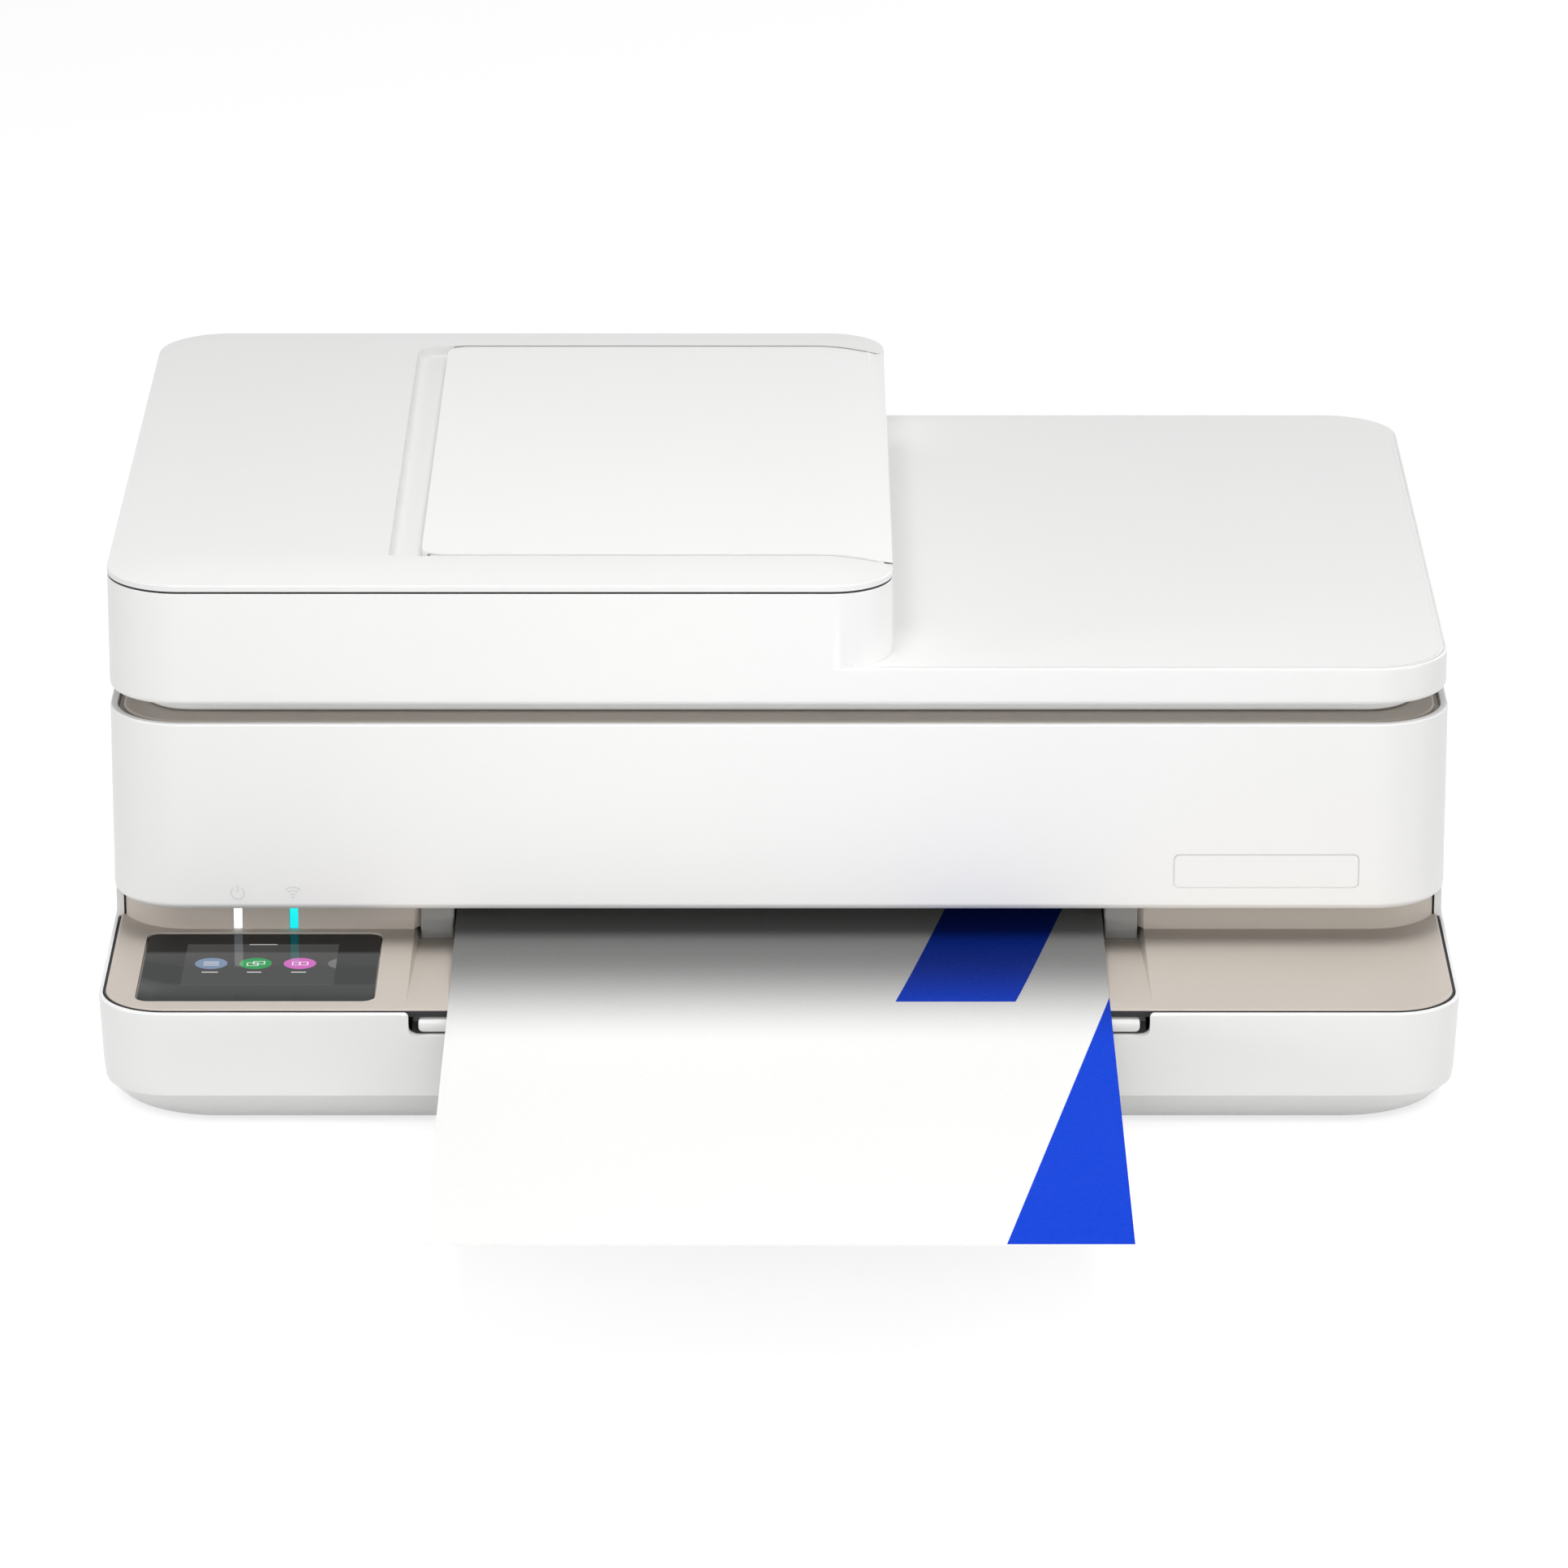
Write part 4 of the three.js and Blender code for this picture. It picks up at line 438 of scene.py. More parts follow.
class Signal:
    """A node socket that takes part in sums, so that shader maths reads as maths."""

    def __init__(self, tree: "Tree", socket: bpy.types.NodeSocket) -> None:
        """Keeps the socket and the tree that it belongs to."""
        self.tree = tree
        self.socket = socket

    def _math(self, how: str, *others: Number) -> "Signal":
        """Feeds this signal and the others into one maths node."""
        made = self.tree.add("ShaderNodeMath", {"operation": how}, dict(enumerate((self, *others))))
        return made.out(0)

    def __rsub__(self, other: Number) -> "Signal":
        """The other number less this signal."""
        node = self.tree.add("ShaderNodeMath", {"operation": "SUBTRACT"}, {0: other, 1: self})
        return node.out(0)

    __add__ = __radd__ = partialmethod(_math, "ADD")
    __sub__ = partialmethod(_math, "SUBTRACT")
    __mul__ = __rmul__ = partialmethod(_math, "MULTIPLY")
    __lt__ = partialmethod(_math, "LESS_THAN")
    __gt__ = partialmethod(_math, "GREATER_THAN")
    __abs__ = partialmethod(_math, "ABSOLUTE")
    root = partialmethod(_math, "SQRT")
    least = partialmethod(_math, "MINIMUM")
    most = partialmethod(_math, "MAXIMUM")
    wrap = partialmethod(_math, "FLOORED_MODULO")

    def ramp(self, low: float, high: float, first: float = 0.0, last: float = 1.0) -> "Signal":
        """Stretches the range from low to high softly onto first to last, and clamps it."""
        sockets = {0: self, 1: low, 2: high, 3: first, 4: last}
        return self.tree.add("ShaderNodeMapRange", SOFT, sockets).out(0)


class Made:
    """A node with its outputs as signals."""

    def __init__(self, tree: "Tree", node: bpy.types.Node) -> None:
        """Keeps the node and its tree."""
        self.tree = tree
        self.node = node

    def out(self, key: int | str) -> Signal:
        """One output of the node."""
        return Signal(self.tree, self.node.outputs[key])


class Tree:
    """Builds a material's nodes."""

    def __init__(self, name: str, world: bpy.types.World | None = None) -> None:
        """Starts an empty material, or a world's empty tree.

        Args:
            name: The material's name.
            world: The world whose tree is built, if it isn't a material.
        """
        self.material = world or bpy.data.materials.new(name)
        self.material.use_nodes = True
        self.nodes = self.material.node_tree.nodes
        self.links = self.material.node_tree.links
        self.nodes.clear()

    def add(
        self,
        kind: str,
        settings: dict[str, Any] | None = None,
        sockets: Sockets | None = None,
    ) -> Made:
        """Adds a node.

        Args:
            kind: The node's type.
            settings: Its properties.
            sockets: Its inputs, each a signal to link or a constant to set.

        Returns:
            The node.
        """
        node = self.nodes.new(kind)
        for key, value in (settings or {}).items():
            setattr(node, key, value)
        for key, value in (sockets or {}).items():
            if isinstance(value, Signal):
                self.links.new(value.socket, node.inputs[key])
            else:
                node.inputs[key].default_value = value
        return Made(self, node)

    def place(self) -> tuple[Signal, Signal, Signal]:
        """The point on the object in millimetres, counted like the sizes in this file.

        Returns:
            x, y and z.
        """
        source = self.add("ShaderNodeTexCoord").out("Object")
        parts = self.add("ShaderNodeSeparateXYZ", {}, {0: source})
        x, y, z = (parts.out(i) * 1000 for i in range(3))
        return x, y - sheet_origin(), z

    def noise(self, scale: float, detail: float = 2.0, stretch: Triple = (1, 1, 1)) -> Signal:
        """Noise over the object.

        Args:
            scale: Grains per metre.
            detail: Octaves of noise.
            stretch: Share of the scale along each axis.

        Returns:
            The noise, from 0 to 1 about a half.
        """
        source = self.add("ShaderNodeTexCoord").out("Object")
        placed = self.add("ShaderNodeMapping", {}, {"Vector": source, "Scale": stretch}).out(0)
        sockets = {"Vector": placed, "Scale": scale, "Detail": detail}
        return self.add("ShaderNodeTexNoise", {}, sockets).out(0)

    def blend(self, share: Number, first: Any, second: Any) -> Signal:
        """Mixes two colours; the share is how much of the second."""
        sockets = {0: share, 6: first, 7: second}
        return self.add("ShaderNodeMix", {"data_type": "RGBA"}, sockets).out(2)

    def relief(self, height: Number, strength: float, depth: float) -> Signal:
        """A bumped normal; the depth, in metres, is what a height of 1 stands for."""
        sockets = {"Strength": strength, "Distance": depth, "Height": height}
        return self.add("ShaderNodeBump", {}, sockets).out(0)

    def finish(self, sockets: Sockets) -> bpy.types.Material:
        """Ends in a Principled shader.

        Args:
            sockets: Its inputs.

        Returns:
            The finished material.
        """
        shader = self.add("ShaderNodeBsdfPrincipled", {}, sockets).out(0)
        self.add("ShaderNodeOutputMaterial", {}, {0: shader})
        return self.material


def paint(red: float, green: float, blue: float) -> Quad:
    """Turns a colour of 0 to 255 into linear light.

    Args:
        red: Its red.
        green: Its green.
        blue: Its blue.

    Returns:
        The linear colour with full alpha.
    """
    def linear(value: float) -> float:
        """One channel."""
        share = value / 255
        return share / 12.92 if share <= 0.04045 else ((share + 0.055) / 1.055) ** 2.4

    return linear(red), linear(green), linear(blue), 1.0


def shade(colour: Sequence[float], factor: float) -> Quad:
    """The same linear colour, lighter or darker."""
    return colour[0] * factor, colour[1] * factor, colour[2] * factor, 1.0


@dataclass(frozen=True)
class Finish:
    """What a piece is made of."""

    slot: str
    colour: Triple = (200, 200, 200)

    def sockets(self, tree: Tree) -> Sockets:
        """Builds the nodes and gives the shader's inputs."""
        raise NotImplementedError

    def material(self) -> bpy.types.Material:
        """Makes the material once for each finish.

        Returns:
            The material.
        """
        name = "_".join([self.slot, *(f"{value:.0f}" for value in self.colour)])
        found = bpy.data.materials.get(name)
        if found:
            return found
        tree = Tree(name)
        return tree.finish(self.sockets(tree))


@dataclass(frozen=True)
class Moulded(Finish):
    """Moulded plastic with a spark-eroded grain."""

    roughness: float = 0.5
    grain: float = 0.25
    size: float = 2600
    mottle: float = 0.012

    def sockets(self, tree: Tree) -> Sockets:
        """Builds the nodes.

        Args:
            tree: The empty material.

        Returns:
            The shader's inputs.
        """
        base = paint(*self.colour)
        cloud = tree.noise(14, 3)
        fine = tree.noise(self.size, 3)
        tone = tree.blend(cloud, shade(base, 1 - self.mottle), shade(base, 1 + self.mottle))
        return {
            "Base Color": tree.blend(fine.ramp(0.3, 0.7, 0.0, 0.3), tone, shade(base, 0.965)),
            "Roughness": fine.ramp(0.2, 0.8, self.roughness - 0.05, self.roughness + 0.07),
            "Specular IOR Level": 0.4,
            "Normal": tree.relief(fine, self.grain, 0.00005),
        }


@dataclass(frozen=True)
class Metal(Finish):
    """Drawn or pressed metal."""

    roughness: float = 0.32
    stretch: Triple = (0.04, 1, 1)

    def sockets(self, tree: Tree) -> Sockets:
        """Builds the nodes.

        Args:
            tree: The empty material.

        Returns:
            The shader's inputs.
        """
        base = paint(*self.colour)
        lines = tree.noise(1800, 4, self.stretch)
        return {
            "Base Color": tree.blend(lines, shade(base, 0.9), base),
            "Metallic": 1.0,
            "Roughness": lines.ramp(0.2, 0.8, self.roughness - 0.08, self.roughness + 0.12),
            "Normal": tree.relief(lines, 0.15, 0.00003),
        }


@dataclass(frozen=True)
class Rubber(Finish):
    """Ground rubber with a fine tooth."""

    def sockets(self, tree: Tree) -> Sockets:
        """Builds the nodes.

        Args:
            tree: The empty material.

        Returns:
            The shader's inputs.
        """
        base = paint(*self.colour)
        tooth = tree.noise(3500, 2)
        dust = tree.noise(60, 4)
        return {
            "Base Color": tree.blend(dust.ramp(0.45, 0.8, 0.0, 0.35), base, shade(base, 2.2)),
            "Roughness": tooth.ramp(0.2, 0.8, 0.72, 0.9),
            "Normal": tree.relief(tooth, 0.5, 0.00008),
        }


@dataclass(frozen=True)
class LightBar(Finish):
    """A lit bar that changes colour along its height."""

    top: Triple = (255, 255, 255)
    low: float = 42.2
    high: float = 54.6
    strength: float = 1.0

    def sockets(self, tree: Tree) -> Sockets:
        """Builds the nodes.

        Args:
            tree: The empty material.

        Returns:
            The shader's inputs.
        """
        _, _, z = tree.place()
        grain = tree.noise(900, 2)
        glow = tree.blend(z.ramp(self.low, self.high), paint(*self.colour), paint(*self.top))
        return {
            "Base Color": glow,
            "Roughness": grain.ramp(0.2, 0.8, 0.3, 0.4),
            "Emission Color": glow,
            "Emission Strength": self.strength,
        }


@dataclass(frozen=True)
class TouchFace(Finish):
    """Dark glass over a lit display with round keys, and a painted reflection: a glowing band
    across the glass.
    """

    lit: Triple = (84, 84, 84)
    centre: Pair = (-166.85, 44.75)
    size: Pair = (48.9, 38.7)
    # painted reflection: the glow of the band across the glass, and where it starts and ends along
    # y
    painted_reflection: Triple = (72, 73, 73)
    painted_reflection_edges: Quad = (12, 26, 54, 58)
    gloss: float = 1.14
    blur: float = 0.06
    line: float = 0.36
    first_key: float = 15.8
    key_row: float = 45.8
    key_pitch: float = 14.25
    key_radius: float = 5.2
    keys: tuple[Triple, ...] = ((128, 146, 172), (62, 158, 94), (208, 112, 190), (122, 122, 124))
    names: Triple = (2.6, 2.3, 2.4)
    name_row: float = 8.2
    title: Triple = (63.8, 4.5, 0.25)

    def disc(self, place: tuple[Signal, Signal], centre: Pair, radius: float) -> Signal:
        """1 inside a circle and 0 outside."""
        x, y = (p - c for p, c in zip(place, centre))
        return (radius - (x * x + y * y).root()).ramp(-self.blur, self.blur)

    def plate(self, place: tuple[Signal, Signal], centre: Pair, half: Pair) -> Signal:
        """1 inside a rectangle, with half its width and height given, and 0 outside."""
        x, y = (half_size - abs(p - c) for p, c, half_size in zip(place, centre, half))
        return x.least(y).ramp(-self.blur, self.blur)

    def frame(self, place: tuple[Signal, Signal], centre: Pair, half: Pair) -> Signal:
        """1 on the outline of such a rectangle and 0 elsewhere."""
        inner = (half[0] - self.line, half[1] - self.line)
        return self.plate(place, centre, half) - self.plate(place, centre, inner)

    def glyphs(self, place: tuple[Signal, Signal]) -> Signal:
        """The white marks on the keys and under them.

        Args:
            place: The point, as x and y.

        Returns:
            1 on a mark and 0 elsewhere.
        """
        menu, pages, scan, _ = self.places()
        rows = [self.plate(place, (menu, self.key_row + dy), (2.5, 0.2)) for dy in (-1.5, 0, 1.5)]
        two = [
            self.frame(place, (pages - 0.9, self.key_row - 0.7), (1.9, 1.5)),
            self.frame(place, (pages + 1.1, self.key_row + 0.7), (1.9, 1.5)),
        ]
        halves = place[0].wrap(0.9) < 0.5
        dashes = halves * self.frame(place, (scan - 1.2, self.key_row), (1.3, 1.6))
        page = self.frame(place, (scan + 1.3, self.key_row), (1.4, 1.6))
        bars = [
            self.plate(place, (x, self.key_row - self.name_row), (half, 0.35))
            for x, half in zip(self.places(), self.names)
        ]
        row, width, height = self.title
        top = self.plate(place, (self.centre[0], row), (width, height)) * 0.8
        marks = rows + two + [dashes, page, top] + [bar * 0.85 for bar in bars]
        total = marks[0]
        for mark in marks[1:]:
            total = total.most(mark)
        return total

    def places(self) -> list[float]:
        """The keys' middles along x."""
        first = self.centre[0] - self.first_key
        return [first + i * self.key_pitch for i in range(len(self.keys))]

    def sockets(self, tree: Tree) -> Sockets:
        """Builds the nodes.

        Args:
            tree: The empty material.

        Returns:
            The shader's inputs.
        """
        x, y, _ = tree.place()
        place = (x, y)
        shown = self.plate(place, self.centre, (self.size[0] / 2, self.size[1] / 2))
        # painted reflection: a glowing band between these y values, which also dims the display
        # outside it
        first, second, third, last = self.painted_reflection_edges
        band = y.ramp(first, second, 0.1, 1.0) * y.ramp(third, last, 1.0, 0.0)
        light: Any = tree.blend(band, (0, 0, 0, 1), paint(*self.painted_reflection))
        light = tree.blend(shown * band.ramp(0, 1, 0.45, 1), light, paint(*self.lit))
        for middle, colour in zip(self.places(), self.keys):
            disc = self.disc(place, (middle, self.key_row), self.key_radius) * shown
            light = tree.blend(disc, light, paint(*colour))
        light = tree.blend(self.glyphs(place) * shown, light, paint(244, 244, 244))
        film = tree.noise(30, 3)
        return {
            "Base Color": tree.blend(film, paint(*self.colour), shade(paint(*self.colour), 1.15)),
            "Roughness": film.ramp(0.3, 0.7, 0.05, 0.09),
            "IOR": self.gloss,
            "Emission Color": light,
            "Emission Strength": 1.0,
        }


@dataclass(frozen=True)
class DisplayBack(Finish):
    """The display under the glass: a dark panel with a fine grid of dots."""

    pitch: float = 0.6
    gap: float = 0.08

    def sockets(self, tree: Tree) -> Sockets:
        """Builds the nodes.

        Args:
            tree: The empty material.

        Returns:
            The shader's inputs.
        """
        x, y, _ = tree.place()
        lines = (x.wrap(self.pitch) < self.gap).most(y.wrap(self.pitch) < self.gap)
        base = paint(*self.colour)
        roughness = tree.noise(700, 2).ramp(0.2, 0.8, 0.35, 0.45)
        return {"Base Color": tree.blend(lines, base, shade(base, 0.5)), "Roughness": roughness}


@dataclass(frozen=True)
class Pane(Finish):
    """Clear flat glass with a faint green body."""

    def sockets(self, tree: Tree) -> Sockets:
        """Builds the nodes.

        Args:
            tree: The empty material.

        Returns:
            The shader's inputs.
        """
        dust = tree.noise(220, 4)
        return {
            "Base Color": paint(*self.colour),
            "Roughness": dust.ramp(0.55, 0.85, 0.02, 0.1),
            "IOR": 1.5,
            "Transmission Weight": 0.92,
        }


@dataclass(frozen=True)
class Page(Finish):
    """Printed paper: blue shapes, and a painted shade near the slot that darkens the paper and its
    ink.
    """

    ink: Triple = (0, 66, 216)
    half_width: float = 105
    band: Pair = (35.1, 73.3)
    band_end: float = 8
    band_slope: float = 0.222
    wedge_end: float = 12
    wedge_slope: float = 0.179
    # painted shade: from full colour at the first y to the darkest share at the second y, towards
    # the slot
    painted_slot_shade: Pair = (-34, 50)
    darkest_painted_shade: float = 0.2

    def printed(self, x: Signal, y: Signal) -> Signal:
        """Where the ink is.

        Args:
            x: Place across the sheet.
            y: Place along it.

        Returns:
            1 on the ink and 0 on bare paper.
        """
        slant = x - y * self.band_slope
        band = (slant > self.band[0]) * (slant < self.band[1]) * (y > self.band_end)
        wedge = (y - self.wedge_end) * self.wedge_slope + self.half_width
        return band.most((x > wedge) * (y < self.wedge_end))

    def sockets(self, tree: Tree) -> Sockets:
        """Builds the nodes.

        Args:
            tree: The empty material.

        Returns:
            The shader's inputs.
        """
        x, y, _ = tree.place()
        fibres = tree.noise(900, 5)
        normal = tree.add("ShaderNodeNewGeometry").out("Normal")
        upward = tree.add("ShaderNodeSeparateXYZ", {}, {0: normal}).out(2) > 0.3
        inked = self.printed(x, y) * upward
        colour = paint(*self.colour)
        base = tree.blend(fibres.ramp(0.3, 0.7), colour, shade(colour, 0.985))
        tone = tree.blend(inked, base, paint(*self.ink))
        # painted shade near the slot: the upper face's colour, ink included, is darkened towards
        # the slot
        painted_slot_shade = y.ramp(*self.painted_slot_shade, 1.0, self.darkest_painted_shade) * upward + (1 - upward)
        return {
            "Base Color": tree.blend(painted_slot_shade, (0, 0, 0, 1), tone),
            "Roughness": fibres.ramp(0.3, 0.7, 0.62, 0.75),
            "Specular IOR Level": 0.08,
            "Normal": tree.relief(fibres, 0.15, 0.00003),
        }


@dataclass(frozen=True)
class Ream(Finish):
    """A stack of sheets, seen as fine lines along its sides: painted shade in darker lines between
    the sheets, with a matching bump.
    """

    sheet: float = 0.1

    def sockets(self, tree: Tree) -> Sockets:
        """Builds the nodes.

        Args:
            tree: The empty material.

        Returns:
            The shader's inputs.
        """
        _, _, z = tree.place()
        waver = z + tree.noise(40, 3) * 0.4
        gaps = waver.wrap(self.sheet * 3) < self.sheet
        base = paint(*self.colour)
        fibres = tree.noise(900, 5)
        return {
            # painted shade: the lines between the sheets are darker in colour, and bumped as well
            "Base Color": tree.blend(gaps * 0.5, base, shade(base, 0.8)),
            "Roughness": fibres.ramp(0.3, 0.7, 0.7, 0.85),
            "Normal": tree.relief(gaps, 0.2, 0.00005),
        }


@dataclass(frozen=True)
class Board(Finish):
    """A lacquered circuit board with copper tracks."""

    copper: Triple = (176, 140, 70)
    pitch: float = 3.2
    track: float = 0.5
    pad: float = 0.42

    def sockets(self, tree: Tree) -> Sockets:
        """Builds the nodes.

        Args:
            tree: The empty material.

        Returns:
            The shader's inputs.
        """
        x, y, _ = tree.place()
        base = paint(*self.colour)
        area = tree.noise(45, 1)
        across = x.wrap(self.pitch) < self.track
        along = y.wrap(self.pitch) < self.track
        tracks = across * (area > 0.5) + along * (area < 0.5)
        px, py = (p.wrap(self.pitch) - self.track / 2 for p in (x, y))
        pads = (px * px + py * py).root() < self.pad
        lacquer = tree.blend(tracks, base, shade(base, 1.7))
        return {
            "Base Color": tree.blend(pads, lacquer, paint(*self.copper)),
            "Metallic": pads * 0.9,
            "Roughness": area.ramp(0.2, 0.8, 0.3, 0.42),
            "Coat Weight": area.ramp(0.2, 0.8, 0.2, 0.35),
        }


WHITE = Moulded("white_shell", (243, 243, 242), roughness=0.33)
BEIGE = Moulded("beige_deck", (201, 192, 182), roughness=0.42, grain=0.2)
GREY = Moulded("grey_plastic", (158, 158, 156), roughness=0.5)
# painted shade: a darker copy of the white shell, used for the feeder cover
SHADED_WHITE = Moulded("white_shell", (239, 239, 238), roughness=0.36)
# painted highlight: a lighter copy of the white shell, used for the feeder flap
LIT_WHITE = Moulded("white_shell", (248, 248, 247), roughness=0.36)
SIGN = Moulded("white_shell", (228, 228, 228), roughness=0.4)
UNDER = Moulded("pale_grey", (236, 237, 237), roughness=0.5)
PALE = Moulded("pale_grey", (214, 215, 216), roughness=0.55)
BLACK = Moulded("black_plastic", (40, 42, 45), roughness=0.5, grain=0.35)
INK = Moulded("ink_tank", (84, 88, 94), roughness=0.4)
FELT = Moulded("white_pad", (244, 244, 242), roughness=0.9, grain=0.8, size=1500)
STEEL = Metal("steel", (186, 189, 193))
BRASS = Metal("brass", (201, 167, 92), roughness=0.28)
TYRE = Rubber("rubber", (38, 39, 41))
SCREEN = TouchFace("touch_glass", (24, 26, 27))
PANEL = DisplayBack("display", (52, 54, 57))
POWER = LightBar("light_white", (190, 198, 206), (240, 240, 240), strength=1.5)
SIGNAL = LightBar("light_blue", (10, 190, 198), (20, 216, 206), strength=1.1)
GLASS = Pane("scan_glass", (226, 238, 234))
SHEET = Page("paper", (252, 252, 251))
REAM = Ream("paper", (248, 248, 245))
BOARD = Board("circuit_board", (38, 98, 62))


class Rows:
    """A Geometry Nodes tree that repeats one small shape along a line."""

    def __init__(self, name: str) -> None:
        """Builds the tree.

        Args:
            name: The tree's name.
        """
        self.tree = bpy.data.node_groups.new(name, "GeometryNodeTree")
        sockets = (
            ("Geometry", "NodeSocketGeometry"),
            ("Shape", "NodeSocketObject"),
            ("Count", "NodeSocketInt"),
            ("Start", "NodeSocketVector"),
            ("Step", "NodeSocketVector"),
            ("Finish", "NodeSocketMaterial"),
        )
        face = self.tree.interface
        self.keys = {
            label: face.new_socket(name=label, in_out="INPUT", socket_type=kind).identifier
            for label, kind in sockets
        }
        face.new_socket(name="Geometry", in_out="OUTPUT", socket_type="NodeSocketGeometry")
        inputs = self.node("NodeGroupInput")
        line = self.node("GeometryNodeMeshLine", mode="OFFSET")
        shape = self.node("GeometryNodeObjectInfo", transform_space="ORIGINAL")
        placed = self.node("GeometryNodeInstanceOnPoints")
        real = self.node("GeometryNodeRealizeInstances")
        dressed = self.node("GeometryNodeSetMaterial")
        links = (
            (inputs, "Count", line, "Count"),
            (inputs, "Start", line, "Start Location"),
            (inputs, "Step", line, "Offset"),
            (inputs, "Shape", shape, "Object"),
            (line, "Mesh", placed, "Points"),
            (shape, "Geometry", placed, "Instance"),
            (placed, "Instances", real, "Geometry"),
            (real, "Geometry", dressed, "Geometry"),
            (inputs, "Finish", dressed, "Material"),
            (dressed, "Geometry", self.node("NodeGroupOutput"), "Geometry"),
        )
        for source, output, target, entry in links:
            self.tree.links.new(source.outputs[output], target.inputs[entry])

    def node(self, kind: str, **settings: str) -> bpy.types.Node:
        """Adds a node.

        Args:
            kind: The node's type.
            settings: Its properties.

        Returns:
            The node.
        """
        made = self.tree.nodes.new(kind)
        for key, value in settings.items():
            setattr(made, key, value)
        return made

    def run(
        self,
        shape: Solid,
        finish: Finish,
        count: int,
        start: Triple,
        step: Triple,
    ) -> Solid:
        """Repeats a shape and uses it up.

        Args:
            shape: The shape, about the zero point.
            finish: What it is made of.
            count: How many there are.
            start: Place of the first.
            step: Distance from one to the next.

        Returns:
            The plain mesh of all of them.
        """
        made = tidy("row", [(0, 0, 0)], [])
        step_by = made.modifiers.new("rows", "NODES")
        step_by.node_group = self.tree
        values = {
            "Shape": shape,
            "Count": count,
            "Start": start,
            "Step": step,
            "Finish": finish.material(),
        }
        for label, value in values.items():
            step_by[self.keys[label]] = value
        bpy.context.view_layer.update()
        baked(made)
        bpy.data.objects.remove(shape)
        return made


def merged(first: Solid, *others: Solid) -> Solid:
    """Puts meshes into one object without joining their surfaces.

    Args:
        first: The object that takes the others in.
        others: The objects that are used up.

    Returns:
        The first object.
    """
    body = bmesh.new()
    for made in (first, *others):
        body.from_mesh(made.data)
    body.to_mesh(first.data)
    body.free()
    for made in others:
        bpy.data.objects.remove(made)
    return first


# ---------------------------------------------------------------- sub-assemblies


